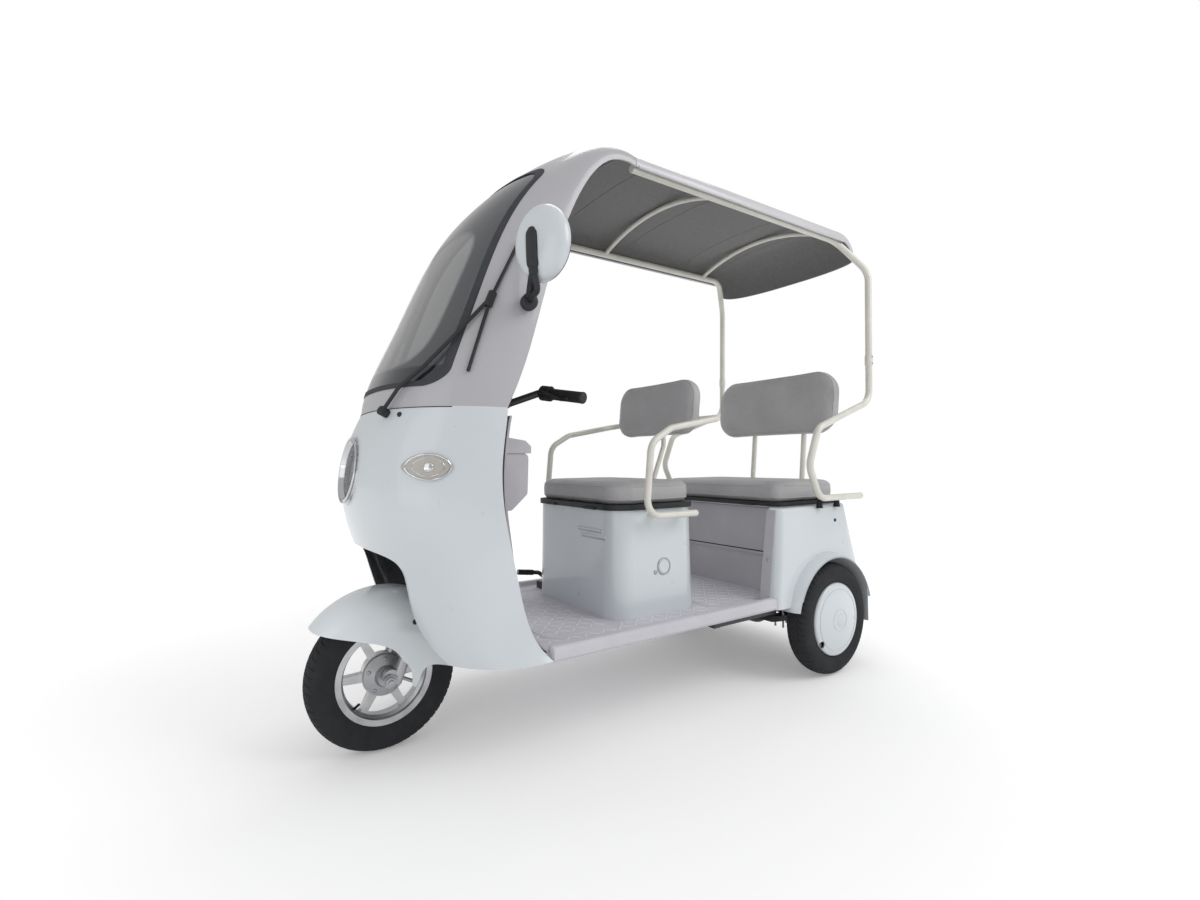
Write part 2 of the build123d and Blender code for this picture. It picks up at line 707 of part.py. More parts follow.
def rear_body():
    """Moulded tail: rounded tub with wheel arches, flared fenders and a bin."""
    outer = body_loft(0)
    rim = outer.edges().filter_by(Plane.XY).group_by(Axis.Z)[-1]
    outer = fillet(rim, 14)
    flare = ring_about_x(flare_section(), 0, rear_axle_y)
    flare &= level_prism(Pos(0, rear_axle_y) * Rectangle(1000, 560), 262, 520)
    for dome in both_sides(flare):
        outer += dome
    shell = outer - body_loft(wall)
    for s in (1, -1):
        well = Pos(s * (fender_inner_x + 60), rear_axle_y, axle_z) * Rot(0, 90, 0) * (
            Cylinder(arch_radius + 20, 120))
        mouth = Pos(s * 430, rear_axle_y, axle_z) * Rot(0, 90, 0) * Cylinder(arch_radius, 60)
        shell = shell - well - mouth
    bin_mouth = level_prism(rounded_rectangle(268, 545, 862, 40), body_top - 40, body_top + 20)
    foot_bay = Pos(0, panel_y - 160, 450) * Box(2 * panel_half_width, 320, 420)
    return shell - bin_mouth - foot_bay


def flare_section():
    """Fender section in (x, radius): crowned top that turns down at the lip."""
    r = fender_outer_radius
    x0, x1 = fender_inner_x, fender_outer_x
    return make_face([
        Spline((x0, r - 4), (x1 - 42, r), (x1 - 8, r - 14), (x1, arch_radius + 6),
               tangents=[(1, 0.1), (-0.05, -1)]),
        Polyline((x1, arch_radius + 6), (x1 - 5, arch_radius - 2), (x0, arch_radius - 2), (x0, r - 4)),
    ])


def wheel_arch_liner(side):
    """Dark inner arch over the tyre, with a mud flap behind it."""
    r = arch_radius + 20
    profile = make_face(Polyline((side * (fender_inner_x + 0.5), r - 4.5), (side * 418, r - 4.5),
                                 (side * 418, r - 0.5), (side * (fender_inner_x + 0.5), r - 0.5),
                                 close=True))
    arch = ring_about_x(profile, 0, rear_axle_y)
    arch = arch & level_prism(Pos(0, rear_axle_y) * Rectangle(1000, 600), 300, 520)
    flap_y = rear_axle_y + sqrt((r - 4.5) ** 2 - (300 - axle_z) ** 2)
    flap = Pos(side * 370, flap_y + 2, 236) * Box(92, 4, 132)
    return arch + flap


def bench_front_panel():
    """Upright panel under the bench with one pressed step, side returns and
    flanges that turn outwards over the front edge of the body."""
    z_low, z_high = floor_top, body_top - 8
    outline = make_face(Polyline((panel_y, z_low), (panel_y + 8, z_low), (panel_y + 8, z_high),
                                 (panel_y, z_high), (panel_y, 440), (panel_y + 4, 436),
                                 (panel_y + 4, 430), (panel_y, 426), close=True))
    panel = side_prism(outline, -panel_half_width + 1, panel_half_width - 1)
    slope = (body_front_top_y - body_front_low_y) / (body_top - rail_top + 2)
    edge_low = body_front_low_y + slope * (z_low - rail_top + 2) - 0.2
    edge_high = edge_low + slope * (z_high - z_low)
    side_face = make_face(Polyline((edge_low, z_low), (panel_y + 8, z_low), (panel_y + 8, z_high),
                                   (edge_high, z_high), close=True))
    flange_face = make_face(Polyline((edge_low - 4, z_low), (edge_low, z_low), (edge_high, z_high),
                                     (edge_high - 4, z_high), close=True))
    inner, outer = panel_half_width - 4, panel_half_width - 1
    cheek = side_prism(side_face, inner, outer) + side_prism(flange_face, inner, panel_half_width + 33)
    return panel + cheek + mirror(cheek, about=Plane.YZ)


add("rear_body", rear_body())
add("wheel_arch_liners", wheel_arch_liner(1), wheel_arch_liner(-1))
add("bench_front_panel", bench_front_panel())


# ---- rear bench ----------------------------------------------------------
def bench_plan(margin):
    return rounded_rectangle(bench_half_width + margin, bench_front_y - margin,
                             bench_rear_y + margin, 40)


def bench_base():
    """Black lid pan on the bin rim, with two hinge barrels in front."""
    pan = level_prism(bench_plan(4), body_top + lid_gap, body_top + 15)
    return pan + hinge_barrels(180, bench_front_y - 6.5, body_top + hinge_radius)


def bench_cushion():
    low = body_top + 15 + seat_gap
    pad = level_prism(bench_plan(2), low, low + 76)
    return fillet(pad.faces().sort_by(Axis.Z)[-1].edges(), 24)


add("bench_base", bench_base())
add("bench_cushion", bench_cushion())
add("rear_backrest", backrest_pad(312, 142, 62, 912, 1046, 6))
lean = radians(6)
post_x = 130.0
post_top_y = 912 + 31 / cos(lean) + 11.4 / cos(lean) + 44 * tan(lean)
post_low_y = post_top_y - (1090 - body_top) * tan(lean)
add("backrest_posts", *[rod((s * post_x, post_low_y, body_top + 0.9), (s * post_x, post_top_y, 1090), 11)
                        for s in (-1, 1)])


# ---- tube frame and canopy -----------------------------------------------
rear_arm_front_y = 588.0


def rear_post(side):
    """Roof rail, upright pole and C-shaped armrest, bent from one tube."""
    x = side * pole_x
    top = side * rail_x
    points = [
        (top, fairing_end_y + 4, roof_side_z), (top, pole_y - 97, roof_side_z),
        (x, pole_y + 12, 1575), (x, pole_y, 1040), (x, rear_arm_front_y + 60, 922),
        (x, rear_arm_front_y, 780), (x, rear_arm_front_y + 60, 645 + pole_radius),
        (x, 925, 645 + pole_radius)]
    return tube(points, pole_radius, [90, 90, 70, 70, 60, 60])


def roof_bow(y):
    """Shallow arched cross tube from rail to rail."""
    crown = roof_crown_z - canopy_wall - lining_wall - bow_radius - 0.6
    path = ThreePointArc((-rail_x, y, roof_side_z + 2), (0, y, crown), (rail_x, y, roof_side_z + 2))
    return sweep(Plane(origin=path @ 0, z_dir=path % 0) * Circle(bow_radius), path=path)


for side, tag in ((1, "left"), (-1, "right")):
    add(f"rear_post_{tag}", rear_post(side))
add("roof_bows", *[roof_bow(y) - rear_post(1) - rear_post(-1) for y in bow_stations])

lip_y, lip_z = 914.0, 1640.0
canopy_half, canopy_foot = 342.0, 1697.0


def canopy_layer(outer, inner):
    """Arched roof layer that runs straight back and rolls down at the rear."""
    def band(plane):
        out = arch_points(canopy_half - outer, canopy_foot - lip_z, roof_crown_z - outer - lip_z, 2.6)
        back = arch_points(canopy_half - inner, canopy_foot - lip_z, roof_crown_z - inner - lip_z,
                           2.6)[::-1]
        return plane * make_face([Spline(*out), Line(out[-1], back[0]), Spline(*back),
                                  Line(back[-1], out[0])])
    straight = extrude(band(fan_plane(lip_y, lip_z, 90)), lip_y - fairing_end_y)
    roll = revolve(band(fan_plane(lip_y, lip_z, 90)), axis=Axis((0, lip_y, lip_z), (-1, 0, 0)),
                   revolution_arc=92)
    return straight + roll


add("canopy_cover", canopy_layer(0, canopy_wall))
add("canopy_lining", canopy_layer(canopy_wall + 0.3, canopy_wall + lining_wall))

# ---- running gear --------------------------------------------------------
axle_tube_radius = 28.0


def rear_axle():
    """Live axle: tubes, gear housing, drive motor, brake drums and stubs."""
    beam = rod((-312, rear_axle_y, axle_z), (312, rear_axle_y, axle_z), axle_tube_radius)
    stub = rod((-half_track - 20, rear_axle_y, axle_z), (half_track + 20, rear_axle_y, axle_z),
               axle_radius)
    housing = Pos(40, rear_axle_y, axle_z) * Rot(0, 90, 0) * Cylinder(92, 96)
    housing = fillet(housing.edges().filter_by(GeomType.CIRCLE), 26)
    motor = Pos(-76, rear_axle_y, axle_z) * Rot(0, 90, 0) * Cylinder(84, 136)
    axle = beam + stub + housing + motor
    for side in (-1, 1):
        drum = make_face(Polyline((side * 306, 0), (side * 306, 78), (side * 314, 84),
                                  (side * 336, 84), (side * 336, 0), close=True))
        axle += ring_about_x(drum, 0, rear_axle_y)
    return axle


def leaf_spring(side):
    """Three leaves under the axle, with eyes, a front hanger and a rear shackle."""
    x = side * rail_half
    reach, rise_full, leaf = 250.0, 46.0, 7.0
    top_z = axle_z - axle_tube_radius - 0.2
    spring = None
    for i, share in enumerate((1.0, 0.72, 0.46)):
        half = reach * share
        rise = rise_full * share * share
        base = top_z - i * leaf
        top = ThreePointArc((rear_axle_y - half, base + rise), (rear_axle_y, base),
                            (rear_axle_y + half, base + rise))
        low = ThreePointArc((rear_axle_y + half, base + rise - leaf), (rear_axle_y, base - leaf),
                            (rear_axle_y - half, base + rise - leaf))
        outline = make_face([top, Line(top @ 1, low @ 0), low, Line(low @ 1, top @ 0)])
        strip = side_prism(outline, x - 22, x + 22)
        spring = strip if spring is None else spring + strip
    eye_z = top_z + rise_full - leaf / 2
    for end, seat_z in ((-1, rail_top - rail_height), (1, rail_top - rail_height + kick_rise)):
        eye_y = rear_axle_y + end * (reach + 6)
        spring += Pos(x, eye_y, eye_z) * Rot(0, 90, 0) * Cylinder(13, 44)
        for s in (-1, 1):
            plate_x = x + s * 24.5
            spring += Pos(plate_x, eye_y, (eye_z - 16 + seat_z) / 2) * Box(5, 30, seat_z - eye_z + 16)
    return spring


add("rear_axle", rear_axle())
add("leaf_springs", leaf_spring(1), leaf_spring(-1))


# ---- lamps, mirrors, wiper and controls ----------------------------------
mirror_centre = Vector(438, -588, 1350)
mirror_turn = 25.0              # front of the shell turned outwards, degrees


def mirror_arm():
    """Left bracket on the pillar, a link and a paddle that runs up the shell."""
    low, high = Vector(440, -608, 1272), Vector(436, -609, 1372)
    cap = rod((330.4, -566, 1222), (354, -572, 1222), 17)
    link = tube([(344, -570, 1222), (434, -592, 1230), low], 8, 20)
    paddle = rod(low, high, 12)
    for end in (low, high):
        paddle += Pos(*end) * Sphere(12)
    return cap + link + paddle


def mirror_shell():
    """Left egg-shaped shell with a flat rear face that takes the glass."""
    a = radians(mirror_turn)
    front = Vector(sin(a), -cos(a), 0)
    sections = []
    for ahead, across, up in ((-22, 78, 96), (0, 76, 93), (14, 60, 76), (21, 24, 34)):
        plane = Plane(origin=mirror_centre + front * ahead, x_dir=(cos(a), sin(a), 0), z_dir=front)
        sections.append(plane * Ellipse(across, up))
    return loft(sections)


def tail_light(side):
    lens = Box(118, 26, 62)
    lens = fillet(lens.edges().filter_by(Axis.Y), 20)
    lens = Pos(side * 236, body_rear_low_y - 25, 478) * Rot(9, 0, 0) * lens
    return lens - body_loft(-seat_gap)


def wiper():
    """Pivot on the nose, arm over the screen and a blade along its edge."""
    base, out = Vector(155, -885.7, 930), Vector(0.315, -0.860, 0.400)
    pivot = rod(base + out * 0.3, base + out * 22, 12)
    arm = tube([base + out * 16, (196, -868, 996), (246, -817, 1050), (276, -760, 1116),
                (306, -662, 1230)], 5, 60)
    blade = tube([(308, -725, 1034), (306, -660, 1230), (312, -578, 1397)], 4.5, 400)
    return pivot + arm + blade


add("wiper", wiper())
add("mirror_arms", *both_sides(mirror_arm()))
add("mirrors", *both_sides(mirror_shell() - mirror_arm()))
add("tail_lights", tail_light(1), tail_light(-1))


plate_y, plate_z, plate_hole_x = 1004.0, 400.0, 70.0


def plate_bracket():
    """Upright plate on a stand-off block, with two holes for a number plate."""
    plate = Pos(0, plate_y, plate_z) * Box(200, 4, 110)
    block = Pos(0, plate_y - 22, plate_z) * Box(120, 44, 60)
    bracket = plate + (block - body_loft(0))
    for s in (-1, 1):
        bracket -= Pos(s * plate_hole_x, plate_y, plate_z + 30) * Rot(90, 0, 0) * Cylinder(3.5, 20)
    return bracket.solids().sort_by(SortBy.VOLUME)[-1]


add("plate_bracket", plate_bracket())


def parking_brake():
    """Hand lever in a foot bracket beside the seat box, on the right."""
    x = -box_half_width - 46
    foot = Pos(x, -130, floor_top + 14) * Box(34, 80, 28)
    lever = tube([(x, -120, floor_top + 22), (x, -170, floor_top + 62), (x, -262, floor_top + 74)],
                 8, 20)
    return foot + lever


def brake_pedal():
    """Foot pedal on a curved arm, right of the column."""
    arm = tube([(-120, -496, floor_top + 0.3), (-120, -492, floor_top + 50),
                (-120, -440, floor_top + 84)], 7, 18)
    pad = Pos(-120, -432, floor_top + 92) * Rot(-40, 0, 0) * Box(70, 12, 52)
    return arm + pad


add("parking_brake", parking_brake())
add("brake_pedal", brake_pedal())

# ---- export --------------------------------------------------------------
for name, shape in nodes.items():
    shape.label = name
    export_step(shape, f"parts/{name}.step")
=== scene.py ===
import sys
import json
import math

import bmesh
import bpy
import numpy as np
from mathutils import Matrix, Vector

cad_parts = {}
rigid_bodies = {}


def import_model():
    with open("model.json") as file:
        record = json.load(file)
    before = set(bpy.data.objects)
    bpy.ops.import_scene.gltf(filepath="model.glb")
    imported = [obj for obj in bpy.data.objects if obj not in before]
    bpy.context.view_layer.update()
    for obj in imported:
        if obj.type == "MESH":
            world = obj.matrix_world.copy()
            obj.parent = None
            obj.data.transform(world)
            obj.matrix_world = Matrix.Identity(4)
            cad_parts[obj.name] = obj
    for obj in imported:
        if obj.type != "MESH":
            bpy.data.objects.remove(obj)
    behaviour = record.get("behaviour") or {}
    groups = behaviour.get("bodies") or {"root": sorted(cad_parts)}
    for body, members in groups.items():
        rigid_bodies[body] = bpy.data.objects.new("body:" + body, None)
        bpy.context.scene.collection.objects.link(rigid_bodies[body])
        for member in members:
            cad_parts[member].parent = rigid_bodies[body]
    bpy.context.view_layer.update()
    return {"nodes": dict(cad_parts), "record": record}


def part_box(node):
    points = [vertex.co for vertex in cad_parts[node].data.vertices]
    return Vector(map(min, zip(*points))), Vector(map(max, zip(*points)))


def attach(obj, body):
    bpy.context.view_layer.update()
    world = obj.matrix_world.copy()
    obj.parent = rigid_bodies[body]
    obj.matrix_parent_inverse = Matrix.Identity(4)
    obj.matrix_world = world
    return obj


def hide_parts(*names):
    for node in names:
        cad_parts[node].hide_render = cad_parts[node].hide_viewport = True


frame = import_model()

scene = bpy.context.scene
nodes = frame["nodes"]
print("frame loaded:", len(nodes), "CAD nodes")


# Surfaces: every new piece is a grid of points worked out as whole arrays.

def newPiece(name, points, faces, smooth=True):
    # A mesh from an (n, 3) array of points and an (m, 4) array of corner indices. Points that
    # fall together at a pole are merged, and edges sharper than 40 degrees stay crisp.
    mesh = bpy.data.meshes.new(name)
    mesh.from_pydata(np.asarray(points).tolist(), [], np.asarray(faces).tolist())
    welded = bmesh.new()
    welded.from_mesh(mesh)
    bmesh.ops.remove_doubles(welded, verts=welded.verts, dist=1e-6)
    welded.to_mesh(mesh)
    welded.free()
    mesh.polygons.foreach_set("use_smooth", np.full(len(mesh.polygons), smooth))
    if smooth:
        mesh.set_sharp_from_angle(angle=math.radians(40))
    piece = bpy.data.objects.new(name, mesh)
    scene.collection.objects.link(piece)
    return piece


def gridFaces(rows, columns, wrapRows, wrapColumns):
    # Corner indices of a rows x columns grid whose edges may join up.
    i = np.arange(rows if wrapRows else rows - 1)
    j = np.arange(columns if wrapColumns else columns - 1)
    i, j = np.meshgrid(i, j, indexing="ij")
    a, b = i % rows, (i + 1) % rows
    c, d = j % columns, (j + 1) % columns
    return np.stack([a * columns + c, b * columns + c, b * columns + d, a * columns + d], -1).reshape(-1, 4)


def outward(points, faces):
    # Turns all faces round when the closed surface's signed volume is negative.
    p = points[faces]
    volume = np.einsum("ij,ij->i", p[:, 0], np.cross(p[:, 1], p[:, 2])).sum()
    volume += np.einsum("ij,ij->i", p[:, 0], np.cross(p[:, 2], p[:, 3])).sum()
    return faces[:, ::-1] if volume < 0 else faces


def frameOf(direction):
    # Two unit vectors square to a direction.
    w = np.array(direction, float)
    w /= np.linalg.norm(w)
    u = np.cross(w, [0, 0, 1] if abs(w[2]) < 0.9 else [1, 0, 0])
    u /= np.linalg.norm(u)
    return u, np.cross(w, u), w


def spinPoints(profile, centre, axis, count, lobes=0, depth=0.0):
    # Profile rows (along axis, radius) turned about the axis: p = c + w*h + r*(u*cos t + v*sin t),
    # with r scaled by 1 - depth*cos(lobes*t) where lobes are asked for.
    u, v, w = frameOf(axis)
    t = np.arange(count) / count * 2 * np.pi
    h, r = np.array(profile, float).T
    scale = 1 - depth * np.cos(lobes * t) if lobes else np.ones(count)
    ring = np.cos(t)[:, None] * u + np.sin(t)[:, None] * v
    return (np.array(centre) + h[:, None, None] * w
            + (r[:, None] * scale)[:, :, None] * ring[None]).reshape(-1, 3)


def spin(name, profile, places, axis, count=40, lobes=0, depth=0.0):
    # One turned shape, repeated at each place, all in one mesh.
    rows = len(profile)
    faces = gridFaces(rows, count, False, True)
    points, allFaces = [], []
    for k, place in enumerate(places):
        direction = axis[k] if np.ndim(axis) > 1 else axis
        ring = spinPoints(profile, place, direction, count, lobes, depth)
        allFaces.append(outward(ring, faces) + k * rows * count)
        points.append(ring)
    return newPiece(name, np.concatenate(points), np.concatenate(allFaces))


def smoothPath(points, count, closed=False):
    # Catmull-Rom curve through the points, evenly sampled by length.
    p = np.array(points, float)
    p = np.vstack([p[-1:], p, p[:2]]) if closed else np.vstack([2 * p[0] - p[1], p, 2 * p[-1] - p[-2]])
    t = np.linspace(0, 1, 40, endpoint=False)[None, :, None]
    a, b, c, d = (p[k:len(p) - 3 + k, None] for k in range(4))
    line = 0.5 * (2 * b + (c - a) * t + (2 * a - 5 * b + 4 * c - d) * t ** 2
                  + (3 * b - a - 3 * c + d) * t ** 3)
    line = np.vstack([line.reshape(-1, 3), p[-2:-1]])
    run = np.r_[0, np.cumsum(np.linalg.norm(np.diff(line, axis=0), axis=1))]
    s = np.linspace(0, run[-1], count + 1)[:-1] if closed else np.linspace(0, run[-1], count)
    return np.stack([np.interp(s, run, line[:, k]) for k in range(3)], 1)


def tubePoints(path, section, closed, up=(0, 0, 1)):
    # Section rows (across, up) carried along a path and kept level with one reference direction:
    # p = path + across*side + up*high, where side is square to the path and to the reference.
    ahead = np.roll(path, -1, 0) - np.roll(path, 1, 0)
    if not closed:
        ahead[0], ahead[-1] = path[1] - path[0], path[-1] - path[-2]
    ahead /= np.linalg.norm(ahead, axis=1)[:, None]
    side = np.cross(ahead, np.array(up, float))
    side /= np.linalg.norm(side, axis=1)[:, None] + 1e-12
    high = np.cross(side, ahead)
    return (path[:, None] + section[None, :, :1] * side[:, None]
            + section[None, :, 1:] * high[:, None]).reshape(-1, 3)


def circleSection(radius, count=12):
    # Rows (radius*cos t, radius*sin t) round one turn.
    t = np.arange(count) / count * 2 * np.pi
    return np.stack([radius * np.cos(t), radius * np.sin(t)], 1)


def tubeAlong(name, path, section, closed=False, up=(0, 0, 1)):
    # Section carried along the path; open ends close on their centre.
    path = np.asarray(path, float)
    if not closed:
        first, last = (np.repeat(path[k:k + 1], len(section), 0) for k in (0, len(path) - 1))
        points = np.vstack([first, tubePoints(path, section, False, up), last])
        faces = gridFaces(len(path) + 2, len(section), False, True)
    else:
        points = tubePoints(path, section, True, up)
        faces = gridFaces(len(path), len(section), True, True)
    return newPiece(name, points, outward(points, faces))


def fit(piece, slot, body="body", finish=None):
    # Gives a piece the material of its slot, unless a finish is given, and its body.
    piece.data.materials.clear()
    piece.data.materials.append(finish or finishes[slot])
    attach(piece, body)
    return piece


# Materials: what each surface really is, with patterns scaled in real millimetres.

def linear(hexColour):
    # sRGB hex to a linear RGBA tuple.
    parts = [int(hexColour[k:k + 2], 16) / 255 for k in (1, 3, 5)]
    return tuple(c / 12.92 if c <= 0.04045 else ((c + 0.055) / 1.055) ** 2.4 for c in parts) + (1.0,)


def addNode(tree, kind, settings=None, inputs=None):
    # Adds one node with its settings; an input given as a socket is linked.
    node = tree.nodes.new(kind)
    for key, value in (settings or {}).items():
        setattr(node, key, value)
    for key, value in (inputs or {}).items():
        if isinstance(value, bpy.types.NodeSocket):
            tree.links.new(value, node.inputs[key])
        else:
            node.inputs[key].default_value = value
    return node


def newMaterial(name, **inputs):
    # A Principled surface with constant sockets set straight on the shader.
    made = bpy.data.materials.new(name)
    made.use_nodes = True
    tree = made.node_tree
    tree.nodes.clear()
    shader = addNode(tree, "ShaderNodeBsdfPrincipled", inputs=inputs)
    addNode(tree, "ShaderNodeOutputMaterial", inputs={"Surface": shader.outputs[0]})
    place = addNode(tree, "ShaderNodeTexCoord").outputs["Object"]
    return made, tree, shader, place


def noiseAt(tree, place, millimetres, detail=2.0, rough=0.5):
    # Noise whose blotches are about this many millimetres across.
    return addNode(tree, "ShaderNodeTexNoise", inputs={
        "Vector": place, "Scale": 1000 / millimetres, "Detail": detail, "Roughness": rough}).outputs["Fac"]


def ramp(tree, value, low=0.0, high=1.0, toLow=0.0, toHigh=1.0, eased=False):
    # A value carried from one range to another and held at its ends.
    return addNode(tree, "ShaderNodeMapRange", {"interpolation_type": "SMOOTHSTEP" if eased else "LINEAR"}, {
        "Value": value, "From Min": low, "From Max": high, "To Min": toLow, "To Max": toHigh}).outputs[0]


def mixed(tree, factor, dark, light, low=0.3, high=0.7):
    # Two colours blended by a factor between low and high.
    first, second = (c if isinstance(c, bpy.types.NodeSocket) else linear(c) for c in (dark, light))
    return addNode(tree, "ShaderNodeMix", {"data_type": "RGBA"}, {
        0: ramp(tree, factor, low, high), 6: first, 7: second}).outputs[2]


def math2(tree, operation, a, b=0.0, clamp=False):
    return addNode(tree, "ShaderNodeMath", {"operation": operation, "use_clamp": clamp},
                   {0: a, 1: b}).outputs[0]


def vectorMath(tree, operation, a, b):
    return addNode(tree, "ShaderNodeVectorMath", {"operation": operation}, {0: a, 1: b})


def relief(tree, shader, height, depthMillimetres, strength):
    # Height pattern as bump of this real depth.
    bump = addNode(tree, "ShaderNodeBump", inputs={
        "Height": height, "Distance": depthMillimetres / 1000, "Strength": strength})
    tree.links.new(bump.outputs[0], shader.inputs["Normal"])


def roughBy(tree, shader, factor, low, high):
    tree.links.new(ramp(tree, factor, 0.0, 1.0, low, high), shader.inputs["Roughness"])


def axesOf(tree, place):
    return addNode(tree, "ShaderNodeSeparateXYZ", inputs={0: place}).outputs


def paintedShell(name, dark, light, roughness=0.28, shadeInsideAbout=None):
    # Lacquered ABS: an even colour with a faint drift from panel to panel, slight orange peel
    # about 2 mm across, and a clear gloss coat that gives soft highlights. Where an upright line is
    # given, faces that look towards it are painted dark grey as painted shade inside the shell.
    made, tree, shader, place = newMaterial(name, **{
        "Roughness": roughness, "IOR": 1.5, "Coat Weight": 0.5, "Coat Roughness": 0.08})
    drift = noiseAt(tree, place, 420, 1.0)
    colour = mixed(tree, drift, dark, light)
    if shadeInsideAbout:
        spoke = vectorMath(tree, "SUBTRACT", place, (*shadeInsideAbout, 0)).outputs[0]
        flat = vectorMath(tree, "MULTIPLY", spoke, (1, 1, 0)).outputs[0]
        facing = vectorMath(tree, "DOT_PRODUCT", flat, addNode(tree,
                                                               "ShaderNodeNewGeometry").outputs["Normal"])
        # Painted shade: inward faces take dark grey.
        colour = mixed(tree, facing.outputs["Value"], "#2B2E32", colour, -0.012, 0.0)
    tree.links.new(colour, shader.inputs["Base Color"])
    relief(tree, shader, noiseAt(tree, place, 2.6, 1.0), 0.05, 0.25)
    dust = noiseAt(tree, place, 60, 4.0)
    roughBy(tree, shader, dust, roughness - 0.05, roughness + 0.09)
    return made


def mouldedPlastic(name, dark, light, roughness=0.5, grain=1.4, depth=0.12):
    # Moulded polypropylene: a fine spark-eroded grain that breaks up the shine.
    made, tree, shader, place = newMaterial(name, **{"Roughness": roughness, "IOR": 1.49})
    drift = noiseAt(tree, place, 160, 3.0)
    tree.links.new(mixed(tree, drift, dark, light), shader.inputs["Base Color"])
    cells = addNode(tree, "ShaderNodeTexVoronoi", {"feature": "SMOOTH_F1"},
                    {"Vector": place, "Scale": 1000 / grain, "Smoothness": 0.6}).outputs["Distance"]
    relief(tree, shader, cells, depth, 0.35)
    roughBy(tree, shader, noiseAt(tree, place, 35, 3.0), roughness - 0.06, roughness + 0.08)
    return made


def speckled(name, dark, light, blotch, grain, wear, roughness, inputs):
    # Shared recipe. Noise is (mm, detail): blotch drifts the colour, grain is (noise, depth in mm,
    # strength) of the relief, and wear is (noise, smoother by, rougher by) in the shine.
    made, tree, shader, place = newMaterial(name, **inputs)
    tree.links.new(mixed(tree, noiseAt(tree, place, *blotch), dark, light), shader.inputs["Base Color"])
    relief(tree, shader, noiseAt(tree, place, *grain[0]), *grain[1:])
    roughBy(tree, shader, noiseAt(tree, place, *wear[0]), roughness - wear[1], roughness + wear[2])
    return made


def rubberCompound(name, dark, light, roughness=0.75):
    # Carbon-black rubber: matt with paler dusty patches and a fine pitted skin.
    dust = (45, 5.0, 0.6)
    return speckled(name, dark, light, dust, ((0.9, 2.0), 0.08, 0.4), (dust, 0.08, 0.1), roughness, {
        "Roughness": roughness, "IOR": 1.52, "Specular IOR Level": 0.35})


def enamelledSteel(name, dark, light, roughness=0.35, metallic=0.0):
    # Powder coat on tube or plate: slight texture 1 mm across, satin shine.
    return speckled(name, dark, light, (90, 3.0), ((1.3, 1.0), 0.04, 0.3), ((25, 3.0), 0.07, 0.08),
                    roughness, {"Roughness": roughness, "IOR": 1.5, "Metallic": metallic,
                                "Coat Weight": 0.25, "Coat Roughness": 0.2})


def castMetal(name, dark, light, roughness=0.3):
    # Cast then machined aluminium: bright metal with a fine sandy skin.
    return speckled(name, dark, light, (50, 4.0), ((1.2, 3.0), 0.06, 0.35), ((18, 4.0), 0.07, 0.1), roughness,
                    {"Metallic": 1.0})


def grainedVinyl(name, dark, light):
    # Upholstery vinyl: pebbled grain about 2 mm across in two sizes, with a soft sheen and
    # a little painted shade darkening the valleys.
    made, tree, shader, place = newMaterial(name, **{
        "Roughness": 0.55, "IOR": 1.46, "Sheen Weight": 0.12, "Sheen Roughness": 0.45})
    pebble = addNode(tree, "ShaderNodeTexVoronoi", {"feature": "DISTANCE_TO_EDGE"},
                     {"Vector": place, "Scale": 1000 / 2.4}).outputs["Distance"]
    fine = noiseAt(tree, place, 0.8, 2.0)
    valley = ramp(tree, pebble, 0.0, 0.12)
    drift = noiseAt(tree, place, 150, 3.0)
    base = mixed(tree, drift, dark, light)
    # Painted shade: the grain's valleys are darkened down to #DADADA.
    shade = addNode(tree, "ShaderNodeMix", {"data_type": "RGBA", "blend_type": "MULTIPLY"},
                    {0: 1.0, 6: base, 7: mixed(tree, valley, "#DADADA", "#FFFFFF", 0, 1)}).outputs[2]
    tree.links.new(shade, shader.inputs["Base Color"])
    height = math2(tree, "ADD", valley, math2(tree, "MULTIPLY", fine, 0.3))
    relief(tree, shader, height, 0.18, 0.5)
    roughBy(tree, shader, drift, 0.5, 0.62)
    return made


def wovenCloth(name, dark, light, thread=3.2):
    # Plain-woven polyester: two crossed sets of threads; the real thread is 0.5 mm and is drawn
    # 3 mm wide so that it shows at this distance.
    made, tree, shader, place = newMaterial(name, **{
        "Roughness": 0.9, "IOR": 1.45, "Sheen Weight": 0.2, "Sheen Roughness": 0.5})
    x, y, z = axesOf(tree, place)
    pitch = 2 * math.pi / (thread / 1000)
    warp = math2(tree, "SINE", math2(tree, "MULTIPLY", x, pitch))
    weft = math2(tree, "SINE", math2(tree, "MULTIPLY", y, pitch))
    weave = math2(tree, "MULTIPLY", warp, weft)
    slub = noiseAt(tree, place, 14, 4.0)
    factor = math2(tree, "ADD", math2(tree, "MULTIPLY", weave, 0.12), slub)
    tree.links.new(mixed(tree, factor, dark, light, 0.2, 0.8), shader.inputs["Base Color"])
    relief(tree, shader, weave, 0.25, 0.35)
    return made


def platedTrim(name, colour):
    # Chromium plate on ABS: near mirror with a faint haze.
    made, tree, shader, place = newMaterial(name, **{"Metallic": 1.0, "Base Color": linear(colour)})
    roughBy(tree, shader, noiseAt(tree, place, 12, 3.0), 0.06, 0.16)
    return made


def lampLens(name, colour, alpha, ribs=5.0):
    # Clear polycarbonate lens with moulded prisms a few millimetres apart inside it.
    made, tree, shader, place = newMaterial(name, **{
        "Base Color": linear(colour), "Roughness": 0.08, "IOR": 1.585, "Alpha": alpha,
        "Coat Weight": 0.6, "Coat Roughness": 0.03})
    x, y, z = axesOf(tree, place)
    pitch = 2 * math.pi / (ribs / 1000)
    wave = math2(tree, "MULTIPLY", math2(tree, "SINE", math2(tree, "MULTIPLY", y, pitch)),
                 math2(tree, "SINE", math2(tree, "MULTIPLY", z, pitch)))
    relief(tree, shader, wave, 0.5, 0.35)
    return made


